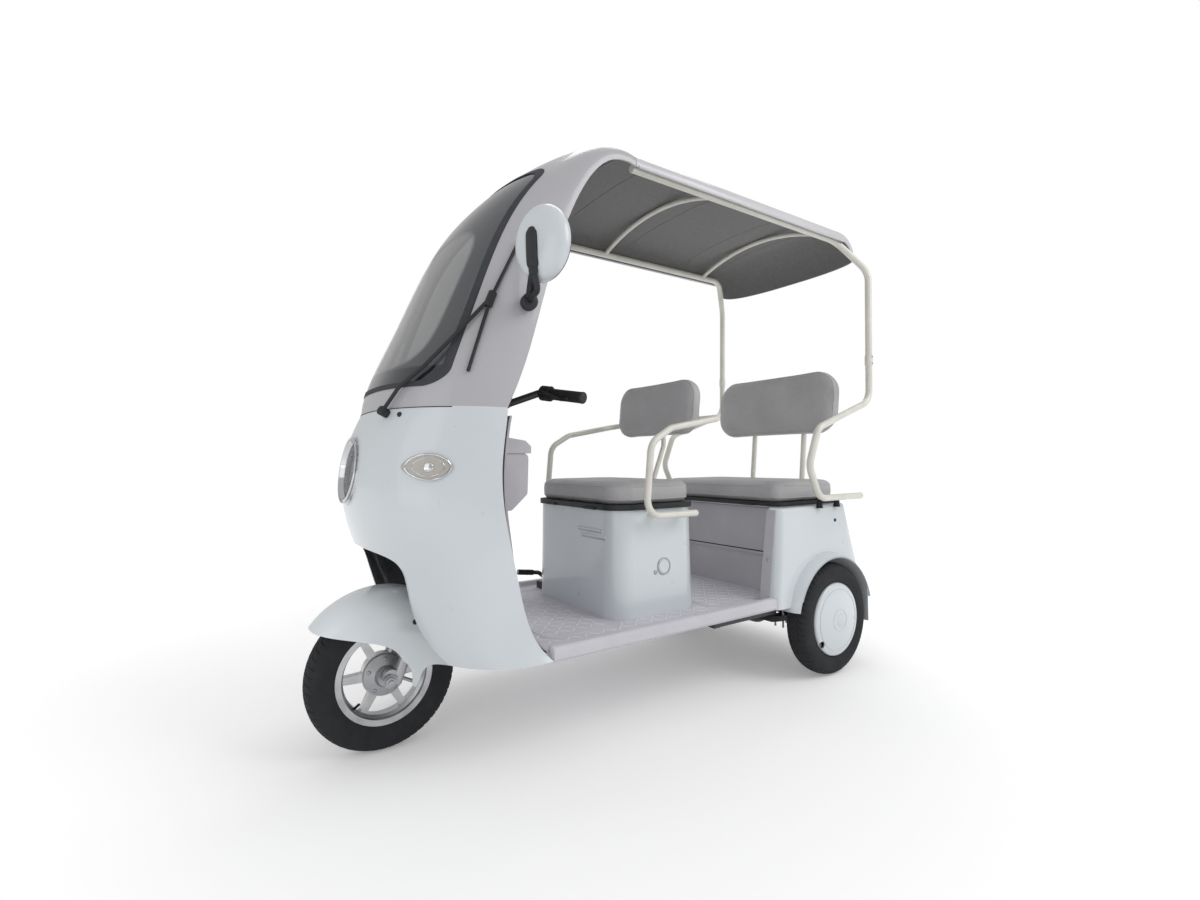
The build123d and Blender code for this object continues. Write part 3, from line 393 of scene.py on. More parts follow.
def smokedScreen(name, look):
    # Smoked polycarbonate: darker at the top and sides, a rounded window in the middle painted lighter and
    # thinner as painted light, and a black band printed along the foot. The window is a rounded box, |x/a|^5
    # + |z/b|^5 < 1.
    made, tree, shader, place = newMaterial(name, **{
        "IOR": 1.58, "Roughness": 0.06, "Coat Weight": 0.5, "Coat Roughness": 0.03})
    x, _, z = axesOf(tree, place)
    shift = math2(tree, "SUBTRACT", z, look["height"])
    reach = math2(tree, "ADD", *(
        math2(tree, "POWER", math2(tree, "ABSOLUTE", math2(tree, "DIVIDE", axis, half)), 5.0)
        for axis, half in ((x, look["halfWidth"]), (shift, look["halfHeight"]))))
    border = ramp(tree, reach, 0.8, 1.15, eased=True)
    foot = ramp(tree, z, look["footTop"] + 0.004, look["footTop"] - 0.004, eased=True)
    # Painted light: inside the window the colour turns to the lighter one.
    tint = mixed(tree, border, look["clear"], look["smoke"], 0, 1)
    tree.links.new(mixed(tree, foot, tint, look["band"], 0, 1), shader.inputs["Base Color"])
    thicker = math2(tree, "MULTIPLY", border, look["smokeTint"] - look["windowLightTint"])
    solid = math2(tree, "ADD", thicker, look["windowLightTint"])
    printed = math2(tree, "MULTIPLY", foot, look["bandTint"])
    tree.links.new(math2(tree, "MAXIMUM", solid, printed), shader.inputs["Alpha"])
    roughBy(tree, shader, noiseAt(tree, place, 80, 3.0), 0.05, 0.14)
    return made


# The window's colour and tint below are painted light, lighter and thinner than the smoke round it.
screenLook = {"halfWidth": 0.214, "height": 1.262, "halfHeight": 0.204, "footTop": 1.052,
              "clear": "#A2A4A2", "smoke": "#505357", "band": "#20262A", "windowLightTint": 0.50,
              "smokeTint": 0.86, "bandTint": 0.98}
finishes = {
    "shell_paint": paintedShell("paintedAbsMint", "#CDD4D8", "#D7DDE1"),
    "pillar_paint": paintedShell("paintedAbsMauve", "#AFAEB2", "#B9B7BC", 0.34),
    "pillar_plastic": mouldedPlastic("mouldedPanelMauve", "#B1AFB4", "#BCBABF"),
    "floor_plastic": mouldedPlastic("mouldedDeck", "#CBC9D0", "#D7D5DC", 0.55),
    "black_plastic": mouldedPlastic("mouldedBlack", "#1B1D1F", "#26282B", 0.55),
    "black_rubber": rubberCompound("mouldedRubber", "#17181A", "#232427"),
    "tyre_rubber": rubberCompound("tyreRubber", "#1E1F22", "#2D2E31", 0.8),
    "cast_alloy": castMetal("castAluminium", "#A9AAAC", "#C2C3C5"),
    "silver_steel": enamelledSteel("silverEnamel", "#A2A3A6", "#B1B2B5", 0.34, 0.6),
    "black_steel": enamelledSteel("blackEnamel", "#15171A", "#212327", 0.42),
    "ivory_tube": enamelledSteel("ivoryPowderCoat", "#DAD8CE", "#E6E4DB", 0.3),
    "seat_vinyl": grainedVinyl("grainedVinyl", "#B0AFB1", "#BDBCBE"),
    "tinted_screen": smokedScreen("smokedPolycarbonate", screenLook),
    "clear_lens": lampLens("clearPolycarbonate", "#C9CDD0", 0.22),
    "amber_lens": lampLens("signalLens", "#C9C4BC", 0.72, 4.0),
    "red_lens": lampLens("redLens", "#A0121A", 0.95, 6.0),
    "chrome_trim": platedTrim("chromiumPlate", "#C9CACC"),
    "canopy_skin": paintedShell("paintedRoofSkin", "#C4C3C7", "#CECDD1", 0.36),
    "lining_cloth": wovenCloth("wovenLining", "#706F6F", "#7E7D7C"),
}
# Silvered glass gives a clean bright reflection. The lamp's bulb lens is painted near black under a sharp
# shine, painted shade for the dark lamp inside it, and the bowl's darkened plate is painted shade that keeps
# the bowl dim.
mirrorGlass = newMaterial("silveredGlass", **{
    "Metallic": 1.0, "Roughness": 0.03, "Base Color": linear("#D5DADC")})[0]
bulbLensShade = newMaterial("bulbLensPaintedShade", **{
    "Base Color": linear("#2B3036"), "Roughness": 0.05, "IOR": 1.52, "Coat Weight": 0.8,
    "Coat Roughness": 0.03})[0]
bowlPlateShade = platedTrim("chromiumPlatePaintedShade", "#4E5155")
# The deck's raised bars get a lighter copy of the deck plastic: painted highlight on their tops.
ridgeHighlightFinish = mouldedPlastic("mouldedDeckRidgeHighlight", "#E0DEE4", "#EAE8EE", 0.5)
slotOf = {part["node"]: part["material_slot"] for part in frame["record"]["subparts"]}
for name, node in nodes.items():
    node.data.materials.clear()
    node.data.materials.append(finishes[slotOf[name]])
# The cowl's paint, with painted shade (dark grey) on its inward faces round the upright line at (0, -0.56).
nodes["front_cowl"].data.materials[0] = paintedShell("paintedAbsCowlShadedInside", "#CDD4D8", "#D7DDE1", 0.28, (0, -0.56))
# The fender takes a lighter copy of the shell paint: painted light on its front.
nodes["front_fender"].data.materials[0] = paintedShell("paintedAbsFenderLit", "#DDE4E8", "#E5EBEF")
nodes["windscreen_seal"].data.materials[0] = rubberCompound("greyedRubber", "#38393D", "#44454A")
nodes["wheel_arch_liners"].data.materials[0] = mouldedPlastic("mouldedLiner", "#A4A8AB", "#B2B6B9", 0.6)
print("materials given to", len(nodes), "CAD nodes")


# Tyres: the section is swept round the axle and cut by a tread pattern.

tyreLook = {"around": 560, "outer": 0.2070, "grooveDepth": 0.0042, "zigzag": 0.0030,
            "blocks": 56, "half": 0.0408}


def makeTyre(name, node, body):
    # Section: a closed curve through the bead, bulged sidewall and crowned tread, as (x, r).
    # Each point then moves inwards by the depth of the groove at its (angle, x).
    low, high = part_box(node)
    centre = (np.array(low) + np.array(high)) / 2
    look = tyreLook
    half, top = look["half"], look["outer"]
    ring = np.array([[0, top], [0.012, top - 0.0007], [0.024, top - 0.0042], [0.033, top - 0.0105],
                     [0.0385, top - 0.021], [half, top - 0.036], [0.0392, 0.155], [0.0352, 0.139],
                     [0.0290, 0.1285], [0.0240, 0.1272]])
    inner = np.array([[0.0240, 0.131], [0.0330, 0.150], [0.0345, 0.170], [0.028, 0.190], [0.0, 0.198]])
    halfLine = np.vstack([ring, inner])
    line = np.vstack([halfLine, halfLine[::-1][1:-1] * [-1, 1]])
    path = smoothPath(np.c_[line, np.zeros(len(line))], 150, True)[:, :2]
    x, r = path.T
    angle = np.arange(look["around"]) / look["around"] * 2 * np.pi
    a, xx = np.meshgrid(angle, x, indexing="ij")
    rr = np.broadcast_to(r, a.shape).copy()
    crown = np.clip((rr - (top - 0.016)) / 0.004, 0, 1)
    wave = look["zigzag"] * np.abs(((a * look["blocks"] / np.pi) % 2) - 1) * 2 - look["zigzag"]
    ribs = np.exp(-(((xx - wave) / 0.0016) ** 2))
    ribs += np.exp(-(((np.abs(xx) - 0.0135 - wave) / 0.0014) ** 2))
    phase = (a * look["blocks"] / (2 * np.pi) + np.abs(xx) * 14 + (xx > 0) * 0.5) % 1
    slots = np.exp(-(((phase - 0.5) / 0.075) ** 2)) * np.clip((np.abs(xx) - 0.0165) / 0.002, 0, 1)
    rr -= look["grooveDepth"] * crown * np.clip(ribs + slots, 0, 1)
    wall = np.clip((np.abs(xx) - 0.0385) / 0.001, 0, 1) * ((rr > 0.14) & (rr < 0.185))
    xx = xx + np.sign(xx) * 0.0004 * wall * np.sin(rr * 2 * np.pi / 0.006)
    points = np.stack([centre[0] + xx, centre[1] + rr * np.sin(a), centre[2] + rr * np.cos(a)],
                      -1).reshape(-1, 3)
    faces = outward(points, gridFaces(look["around"], len(x), True, True))
    piece = fit(newPiece(name, points, faces), "tyre_rubber", body)
    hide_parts(node)
    return centre


wheelCentre = {
    "front": makeTyre("frontTyreTread", "front_tyre", "front_wheel"),
    "left": makeTyre("rearTyreTreadLeft", "rear_tyre_left", "rear_wheel_left"),
    "right": makeTyre("rearTyreTreadRight", "rear_tyre_right", "rear_wheel_right"),
}
print("tyres cut with tread")


# Cushions: each starts a little smaller than its CAD pad, swells under pressure as cloth, then
# gets its sewn piping.

padLook = {"voxel": 0.006, "pressure": 4.0, "frames": 20, "pipe": 0.0022, "stiffness": 30}


def roundedSlab(name, low, high, corner, edge, rows=9, around=96):
    # A slab whose outline is a rounded rectangle and whose rim is a half ellipse: outline point
    # plus normal times edge*(cos - 1), height from edge*sin, closed on the middle at both faces.
    low, high = np.array(low), np.array(high)
    mid, half = (low + high) / 2, (high - low) / 2
    u = circleSection(1.0, around)
    outline = np.sign(u) * (half[:2] - corner) + corner * u
    phi = np.linspace(-np.pi / 2, np.pi / 2, rows)
    layers = []
    for p in phi:
        ring = outline + u * edge * (math.cos(p) - 1)
        z = math.copysign(half[2] - edge, p) + edge * math.sin(p) if abs(p) > 1e-6 else 0.0
        layers.append(np.c_[ring, np.full(around, z)])
    inside = [layers[0] * [s, s, 1] for s in (0, 0.35, 0.7)]
    above = [layers[-1] * [s, s, 1] for s in (0.7, 0.35, 0)]
    points = np.vstack(inside + layers + above) + mid
    faces = gridFaces(rows + 6, around, False, True)
    return newPiece(name, points, outward(points, faces))


def swell(piece, cap):
    # Pressure cloth on a fine voxel skin; no point moves further than the cap.
    for o in scene.objects:
        o.select_set(False)
    bpy.context.view_layer.objects.active = piece
    piece.select_set(True)
    skin = piece.modifiers.new("skin", "REMESH")
    skin.mode, skin.voxel_size = "VOXEL", padLook["voxel"]
    bpy.ops.object.modifier_apply(modifier="skin")
    count = len(piece.data.vertices)
    before = np.empty(count * 3)
    piece.data.vertices.foreach_get("co", before)
    after = before.copy()
    cloth = piece.modifiers.new("cloth", "CLOTH")
    cloth.settings.use_pressure = True
    cloth.settings.uniform_pressure_force = padLook["pressure"]
    cloth.settings.effector_weights.gravity = 0
    cloth.settings.tension_stiffness = cloth.settings.compression_stiffness = padLook["stiffness"]
    cloth.point_cache.frame_end = padLook["frames"]
    for step in range(1, padLook["frames"] + 1):
        scene.frame_set(step)
    solved = piece.evaluated_get(bpy.context.evaluated_depsgraph_get())
    solved.data.vertices.foreach_get("co", after)
    piece.modifiers.remove(cloth)
    scene.frame_set(1)
    move = (after - before).reshape(-1, 3)
    size = np.linalg.norm(move, axis=1)[:, None]
    move *= np.minimum(1, cap / np.maximum(size, 1e-9))
    placed = before.reshape(-1, 3) + move
    piece.data.vertices.foreach_set("co", placed.ravel())
    piece.data.polygons.foreach_set("use_smooth", np.full(len(piece.data.polygons), True))
    finer = piece.modifiers.new("finer", "SUBSURF")
    finer.levels = finer.render_levels = 1
    piece.data.update()
    return placed


def seam(name, skin, outline, body):
    # Piping: each point of a rough outline moves to the middle of the skin points near it.
    guide = smoothPath(outline, 220, True)
    nearest = np.empty(len(guide), int)
    for start in range(0, len(guide), 44):
        gap = ((guide[start:start + 44, None] - skin[None]) ** 2).sum(-1)
        nearest[start:start + 44] = gap.argmin(1)
    path = skin[nearest]
    for _ in range(6):
        path = (np.roll(path, 1, 0) + 2 * path + np.roll(path, -1, 0)) / 4
    path = smoothPath(path[::2], 260, True)
    pipe = tubeAlong(name, path, circleSection(padLook["pipe"], 8), True, (0.013, 0.1, 0.995))
    return fit(pipe, "seat_vinyl", body)


def seatPad(name, node, body, corner, inset, cap):
    # Level cushion: swells upwards and at the sides, and rests flat on its lid pan.
    low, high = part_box(node)
    pad = roundedSlab(name, [low.x + inset, low.y + inset, low.z + 0.001],
                      [high.x - inset, high.y - inset, high.z - inset], corner, 0.022)
    skin = swell(pad, cap)
    skin[:, 2] = np.maximum(skin[:, 2], low.z + 0.0004)
    pad.data.vertices.foreach_set("co", skin.ravel())
    fit(pad, "seat_vinyl", body)
    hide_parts(node)
    u = circleSection(1.0, 64)
    ends = np.array([low, high])[:, :2]
    mid, span = ends.sum(0) / 2, (ends[1] - ends[0]) / 2 - corner
    for tag, drop, pull in (("Upper", 0.012, 0.008), ("Lower", high.z - low.z - 0.012, 0.0)):
        ring = mid + np.sign(u) * span + (corner - pull) * u
        seam(f"{name}{tag}Piping", skin, np.c_[ring, np.full(64, high.z - drop)], body)


def backPad(name, node, body, roundness, inset, cap, lean):
    # Leaning pad: a slab made flat, turned up, leaned back, then swollen.
    low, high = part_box(node)
    mid = (np.array(low) + np.array(high)) / 2
    a = math.radians(lean)
    thick = ((high.y - low.y) - (high.z - low.z) * math.sin(a)) / math.cos(a)
    tall = ((high.z - low.z) - thick * math.sin(a)) / math.cos(a)
    halfX, halfZ, halfT = (high.x - low.x) / 2 - inset, tall / 2 - inset, thick / 2 - inset
    corner = (tall / 2) * roundness - inset
    pad = roundedSlab(name, [-halfX, -halfZ, -halfT], [halfX, halfZ, halfT], corner, min(0.020, halfT * 0.9))
    turn = np.array([[1, 0, 0], [0, math.sin(a), -math.cos(a)], [0, math.cos(a), math.sin(a)]])
    co = np.empty(len(pad.data.vertices) * 3)
    pad.data.vertices.foreach_get("co", co)
    co = co.reshape(-1, 3) @ turn.T + mid
    pad.data.vertices.foreach_set("co", co.ravel())
    skin = swell(pad, cap)
    fit(pad, "seat_vinyl", body)
    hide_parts(node)
    u = circleSection(1.0, 64)
    ring = np.sign(u) * [halfX - corner, halfZ - corner] + (corner - 0.004) * u
    for tag, face in (("Front", halfT - 0.004), ("Rear", -halfT + 0.004)):
        seam(f"{name}{tag}Piping", skin, np.c_[ring, np.full(64, face)] @ turn.T + mid, body)


seatPad("driverCushionPad", "driver_cushion", "driver_seat_lid", 0.072, 0.004, 0.006)
seatPad("benchCushionPad", "bench_cushion", "bench_lid", 0.040, 0.004, 0.007)
backPad("driverBackPad", "driver_backrest", "body", 0.72, 0.004, 0.006, 6)
backPad("benchBackPad", "rear_backrest", "body", 0.72, 0.004, 0.006, 6)
print("cushions swollen and piped")


# Fittings. Where one sits on a moulded skin, a straight line finds the skin and its normal.

bpy.context.view_layer.update()
sides = ((1, "Left"), (-1, "Right"))


def onSkin(node, start, direction):
    # Place and outward normal where a line from the start first meets the node.
    ahead = Vector(direction).normalized()
    hit, place, normal, _ = nodes[node].ray_cast(Vector(start), ahead)
    if not hit:
        sys.exit(f"no surface of {node} ahead of {tuple(start)}")
    return np.array(place), np.array(-normal if normal.dot(ahead) > 0 else normal)


def skinPath(node, starts, direction, lift=0.0):
    # Where lines from each start meet the skin, raised along its normal.
    ways = direction if np.ndim(direction) > 1 else [direction] * len(starts)
    found = [onSkin(node, start, way) for start, way in zip(starts, ways)]
    return np.array([place + normal * lift for place, normal in found])


def fixings(name, spots, profile, body, slot, count=20, lobes=0, depth=0.0):
    # One turned shape set square to the skin at each (node, start, direction).
    found = [onSkin(*spot) for spot in spots]
    piece = spin(name, profile, [p for p, _ in found], [n for _, n in found], count, lobes, depth)
    return fit(piece, slot, body)


def bead(name, node, starts, direction, radius, body, slot, lift=0.0):
    # A closed round bead that follows the skin.
    ring = tubeAlong(name, skinPath(node, starts, direction, lift), circleSection(radius, 8), True, direction)
    return fit(ring, slot, body)


def domedHead(radius, height):
    # Button head: rows (height, radius) of a skirt, a quarter-round shoulder and a sunk socket.
    t = np.linspace(0, np.pi / 2, 5)
    shoulder = np.c_[height * (0.3 + 0.7 * np.sin(t)), radius * (0.5 + 0.5 * np.cos(t))]
    return np.vstack([[[-height, 0], [-height, radius]], shoulder,
                      [[height * 0.55, radius * 0.42], [height * 0.55, 0]]])


def plainCap(radius, height):
    # Smooth domed cap: half an ellipse above a short skirt.
    t = np.linspace(0, np.pi / 2, 8)
    return np.vstack([[[-height, 0], [-height, radius]], np.c_[height * np.sin(t), radius * np.cos(t)]])


def ringRows(low, high, inner, outer, edge=0.001):
    # Collar round a tube: a closed block section with eased outer edges.
    return [(low, 0), (low, inner), (low, outer - edge), (low + edge, outer), (high - edge, outer),
            (high, outer - edge), (high, inner), (high, 0)]


def barRow(name, centres, along, up, size, taper):
    # Low bars: corner = centre + along*(+-l) + across*(+-w) + up*(0 or h), the top drawn in.
    centres = np.atleast_2d(np.array(centres, float))
    along, up = (np.broadcast_to(np.array(v, float), centres.shape) for v in (along, up))
    across = np.cross(up, along)
    signs = np.array([[-1, -1], [1, -1], [1, 1], [-1, 1]])
    half = np.array(size[:2])
    corners = np.vstack([np.c_[signs * half, np.zeros(4)], np.c_[signs * (half - taper),
                                                                 np.full(4, size[2])]])
    points = (centres[:, None] + corners[None, :, :1] * along[:, None]
              + corners[None, :, 1:2] * across[:, None] + corners[None, :, 2:] * up[:, None])
    block = np.array([[0, 3, 2, 1], [4, 5, 6, 7], [0, 1, 5, 4], [1, 2, 6, 5], [2, 3, 7, 6], [3, 0, 4, 7]])
    faces = block[None] + 8 * np.arange(len(centres))[:, None, None]
    return newPiece(name, points.reshape(-1, 3), faces.reshape(-1, 4), False)


def ribbed(run, ribs, radius, wave, each=6):
    # Sleeve rows: the radius plus a wave of the angle 2*pi*ribs*s/run, closed at both ends.
    along = np.linspace(0, run, ribs * each + 1)
    wide = radius + wave(along / run * 2 * np.pi * ribs)
    return np.vstack([[[0, 0]], np.c_[along, wide], [[run, 0]]])


def turned(centre, radius, first, second, count=48):
    # Circle points in the plane of two unit directions.
    t = np.arange(count) / count * 2 * np.pi
    return np.array(centre) + radius * (np.cos(t)[:, None] * first + np.sin(t)[:, None] * second)


xWay, yWay, zWay = np.eye(3)

# Headlamp: faceted bowl in darkened plate as painted shade, projector barrel with a bulb lens painted near
# black as painted shade, and a bright lip.
lampLook = {"centre": (0, -0.925, 0.779), "tilt": 8.0, "bowlRadius": 0.0745, "bowlDepth": 0.050,
            "bowlBack": -0.048, "facets": 20, "barrel": 0.037, "lip": 0.0905, "lipAhead": 0.0285,
            "lipThick": 0.0026}
tilt = math.radians(90 - lampLook["tilt"])
lampAxis = np.array([0, -math.sin(tilt), math.cos(tilt)])
r = np.linspace(0, lampLook["bowlRadius"], 14)
h = lampLook["bowlBack"] + lampLook["bowlDepth"] * (r / lampLook["bowlRadius"]) ** 2
bowl = np.vstack([np.c_[h - 0.0015, r], np.c_[h, r][::-1]])
fit(spin("headlightReflector", bowl, [lampLook["centre"]], lampAxis, 80, lampLook["facets"], 0.010),
    "chrome_trim", finish=bowlPlateShade)
k = lampLook["barrel"]
barrel = [(-0.030, 0), (-0.030, k - 0.002), (-0.004, k), (-0.001, k - 0.0015), (-0.003, k - 0.005),
          (-0.010, k - 0.006), (-0.010, 0)]
fit(spin("headlightBarrel", barrel, [lampLook["centre"]], lampAxis, 48), "silver_steel")
dome = [(-0.011, 0), (-0.011, k - 0.0065), (-0.004, k - 0.008), (0.002, k - 0.015), (0.005, k - 0.025),
        (0.006, 0)]
fit(spin("headlightBulbLens", dome, [lampLook["centre"]], lampAxis, 48), "clear_lens", finish=bulbLensShade)
lipPath = turned(np.array(lampLook["centre"]) + lampAxis * lampLook["lipAhead"], lampLook["lip"], xWay,
                 np.cross(lampAxis, xWay), 72)
fit(tubeAlong("headlightLip", lipPath, circleSection(lampLook["lipThick"], 10), True, lampAxis),
    "chrome_trim")

# Turn signals: bright rim, an inner almond bead and a round prism boss.
signalLook = {"y": -0.822, "z": 0.792, "half": 0.052, "radius": 0.0631, "drop": 0.0291, "rim": 0.0024,
              "inner": 0.0012}
u = np.linspace(-signalLook["half"], signalLook["half"], 15)[1:-1]
v = np.sqrt(signalLook["radius"] ** 2 - u ** 2) - signalLook["drop"]
almond = np.vstack([np.c_[u, v], [[signalLook["half"], 0]], np.c_[u, -v][::-1], [[-signalLook["half"], 0]]])
almond = smoothPath(np.c_[almond, np.zeros(len(almond))], 90, True)[:, :2]
for side, tag in sides:
    for kind, scale, thick in (("Rim", 0.93, signalLook["rim"]), ("InnerBead", 0.66, signalLook["inner"])):
        starts = np.c_[np.full(90, side * 0.5), almond * scale + [signalLook["y"], signalLook["z"]]]
        bead(f"signal{kind}{tag}", "turn_signals", starts, (-side, 0, 0), thick, "body", "chrome_trim")
    spot = ("turn_signals", (side * 0.5, signalLook["y"], signalLook["z"]), (-side, 0, 0))
    fixings(f"signalBoss{tag}", [spot], [(-0.003, 0), (-0.003, 0.0125), (0.002, 0.0125), (0.0034, 0.0105),
            (0.0022, 0.0090), (0.0030, 0.0060), (0.0036, 0)], "body", "chrome_trim", 32, 16, 0.02)
print("lamps fitted")

# Mirrors: a black rim and slightly domed silvered glass on the rider's side.
mirrorLook = {"centre": (0.438, -0.588, 1.350), "turn": 25.0, "back": -0.022, "across": 0.0745,
              "high": 0.0925, "rim": 0.0040, "dome": 0.0035}
for side, tag in sides:
    a = math.radians(mirrorLook["turn"])
    front = np.array([side * math.sin(a), -math.cos(a), 0])
    over = np.array([math.cos(a), side * math.sin(a), 0])
    centre = np.array(mirrorLook["centre"]) * [side, 1, 1] + front * mirrorLook["back"]
    u = circleSection(1.0, 64) * [mirrorLook["across"], mirrorLook["high"]]
    ring = u[:, :1] * over + u[:, 1:] * zWay
    fit(tubeAlong(f"mirrorRim{tag}", centre + ring, circleSection(mirrorLook["rim"], 10), True, front),
        "black_plastic")
    share = np.array([0, 0.2, 0.4, 0.6, 0.8, 1.0, 1.0, 0])
    bulge = np.r_[0.0015 + mirrorLook["dome"] * (1 - share[:6] ** 2), -0.001, -0.001]
    points = centre + share[:, None, None] * ring[None] - bulge[:, None, None] * front
    faces = gridFaces(len(share), 64, False, True)
    points = points.reshape(-1, 3)
    fit(newPiece(f"mirrorGlass{tag}", points, outward(points, faces)), "chrome_trim", finish=mirrorGlass)

# Mirror arms: moulded sleeves over the upright, the link and the pivot.
armLook = {"upright": ((0.440, -0.608, 1.276), (0.4385, -0.6095, 1.325), (0.436, -0.609, 1.378), 0.0165),
           "link": ((0.364, -0.576, 1.228), (0.402, -0.592, 1.250), (0.438, -0.607, 1.270), 0.0115),
           "pivot": ((0.340, -0.5685, 1.222), (0.352, -0.5715, 1.222), (0.3665, -0.575, 1.222), 0.0225)}
for side, tag in sides:
    for kind, (*line, radius) in armLook.items():
        steps, around = 26, 24
        line = smoothPath(np.array(line) * [side, 1, 1], steps)
        taper = np.sqrt(np.clip(1 - np.abs(np.linspace(-1, 1, steps)) ** 9, 0.02, 1))
        ahead = np.gradient(line, axis=0)
        ahead /= np.linalg.norm(ahead, axis=1)[:, None]
        u = np.cross(ahead, [0, 1, 0.2])
        u /= np.linalg.norm(u, axis=1)[:, None]
        v = np.cross(ahead, u)
        wheel = circleSection(1.0, around)[None]
        skin = line[:, None] + radius * taper[:, None, None] * (wheel[..., :1] * u[:, None]
                                                                + wheel[..., 1:] * v[:, None])
        first, last = (np.repeat(line[k:k + 1, None], around, 1) for k in (0, steps - 1))
        skin = np.concatenate([first, skin, last]).reshape(-1, 3)
        fit(newPiece(f"mirrorArm{kind.title()}{tag}", skin, outward(skin,
            gridFaces(steps + 2, around, False, True))), "black_plastic")

# Wiper: pivot cap, arm bridge and the rubber strip under the blade.
wiperLook = {"base": (0.155, -0.8857, 0.930), "out": (0.315, -0.860, 0.400),
             "blade": ((0.308, -0.725, 1.034), (0.306, -0.660, 1.230), (0.312, -0.578, 1.397))}
wiperOut = np.array(wiperLook["out"]) / np.linalg.norm(wiperLook["out"])
fit(spin("wiperPivotCap", plainCap(0.0125, 0.006), [np.array(wiperLook["base"]) + wiperOut * 0.022],
         wiperOut, 28), "black_plastic")
blade = smoothPath(wiperLook["blade"], 24)
strip = circleSection(0.0028, 8) * [1, 3.0]
fit(tubeAlong("wiperRubber", blade + np.array([-0.0045, 0.0015, 0]), strip, False, (1, -0.3, 0)),
    "black_rubber")
fit(spin("wiperBridge", ringRows(-0.022, 0.022, 0.004, 0.0115, 0.003), [blade[12]], blade[13] - blade[11],
         16), "black_plastic")

# Nose: dark joint line between cowl and surround, partly painted shadow in the seam, and a washer nozzle.
noseLook = {"jointZ": 0.9432, "jointY": -0.70, "jointHalfTurn": 78, "joint": 0.0013}
turn = np.radians(np.linspace(-noseLook["jointHalfTurn"], noseLook["jointHalfTurn"], 90))
ways = np.c_[np.sin(turn), -np.cos(turn), np.zeros(90)]
starts = np.array([0, noseLook["jointY"], noseLook["jointZ"]]) + ways * 0.9
# The black rubber bead is partly a real seal and partly painted shadow in the seam.
fit(tubeAlong("noseJoint", skinPath("front_cowl", starts, -ways), circleSection(noseLook["joint"], 8)),
    "black_rubber")
fixings("washerNozzle", [("front_cowl", (0.20, -1.3, 0.926), (0, 1, 0))], plainCap(0.007, 0.006), "body",
        "black_plastic")
print("nose fitted")

# Steering head: folded gaiters on the fork legs.
headLook = {"rake": 22.0, "axis": (0, -0.82904, 0.2075), "legX": 0.064, "legLead": 0.003,
            "gaiterLow": 0.250, "gaiterHigh": 0.394, "folds": 11, "inner": 0.0165, "fold": 0.0055}
rake = math.radians(headLook["rake"])
steerUp, steerBack = np.array([0, math.sin(rake), math.cos(rake)]), np.array([0, math.cos(rake),
    -math.sin(rake)])
bellows = ribbed(headLook["gaiterHigh"] - headLook["gaiterLow"], headLook["folds"], headLook["inner"],
                 lambda p: headLook["fold"] * np.abs(np.sin(p / 2)), 8)
places = [np.array(headLook["axis"]) + steerUp * headLook["gaiterLow"] - steerBack * headLook["legLead"]
          + xWay * side * headLook["legX"] for side, _ in sides]
fit(spin("forkGaiters", bellows, places, steerUp, 28), "black_rubber", "steering")

# Handlebar: ribbed sleeves, end caps, switch buttons and a plain dial.
barLook = {"centre": (0, -0.5218, 0.9678), "bend": (0.150, 0.102, 0.046), "end": (0.292, 0.155, 0.020),
           "gripInner": 0.193, "gripOuter": 0.298, "ribs": 15, "radius": 0.0164, "rib": 0.0011,
           "switch": 0.176, "buttonRadius": 0.0228}


def onBar(side, across):
    # Point on the outer straight of the bar, this far from the middle.
    bend, end = np.array(barLook["bend"]), np.array(barLook["end"])
    p = bend + (end - bend) * (across - bend[0]) / (end[0] - bend[0])
    return np.array(barLook["centre"]) + p * [side, 1, 1]


buttonPlaces, buttonAxes = [], []
for side, tag in sides:
    inner, outer = onBar(side, barLook["gripInner"]), onBar(side, barLook["gripOuter"])
    run = np.linalg.norm(outer - inner)
    outwards = (outer - inner) / run
    sleeve = ribbed(run, barLook["ribs"], barLook["radius"], lambda p: barLook["rib"]
                    * np.clip(np.sin(p), 0, 0.7))
    fit(spin(f"gripSleeve{tag}", sleeve, [inner], outer - inner, 36), "black_rubber", "steering")
    fit(spin(f"gripEndCap{tag}", plainCap(0.0175, 0.005), [outer + outwards * 0.002], outer - inner, 32),
        "black_plastic", "steering")
    middle = onBar(side, barLook["switch"])
    for step, lean in ((-0.009, 0.5), (0.001, 0.75), (0.009, 0.35)):
        way = np.array([0, lean, 1.0]) / math.hypot(lean, 1)
        way -= outwards * np.dot(way, outwards)
        way /= np.linalg.norm(way)
        buttonPlaces.append(middle + outwards * step + way * barLook["buttonRadius"])
        buttonAxes.append(way)
fit(spin("switchButtons", plainCap(0.0038, 0.0026), buttonPlaces, buttonAxes, 16), "silver_steel", "steering")

dialLook = {"up": 0.8742, "back": 0.004, "radius": 0.027, "ticks": 19, "sweep": 240.0,
            "tickRadius": 0.0215, "needleRadius": 0.008}
dialPlace = np.array(headLook["axis"]) + steerUp * dialLook["up"] + steerBack * dialLook["back"]
face = [(-0.002, 0), (-0.002, 0.0285), (0.0020, 0.0285), (0.0030, 0.0275), (0.0018, 0.0262),
        (0.0010, 0.0255), (0.0010, 0)]
fit(spin("dialFace", face, [dialPlace], steerUp, 48), "black_plastic", "steering")
t = np.radians(np.linspace(-dialLook["sweep"] / 2, dialLook["sweep"] / 2, dialLook["ticks"]))
out = -np.cos(t)[:, None] * steerBack + np.sin(t)[:, None] * xWay
fit(barRow("dialTicks", dialPlace + out * dialLook["tickRadius"] + steerUp * 0.001, out, steerUp,
           (0.0024, 0.0004, 0.0004), 0.0001), "shell_paint", "steering")
needle = out[5]
fit(barRow("dialNeedle", dialPlace + needle * dialLook["needleRadius"] + steerUp * 0.0014, needle,
           steerUp, (0.0105, 0.0007, 0.0006), 0.0003), "red_lens", "steering")
print("handlebar fitted")

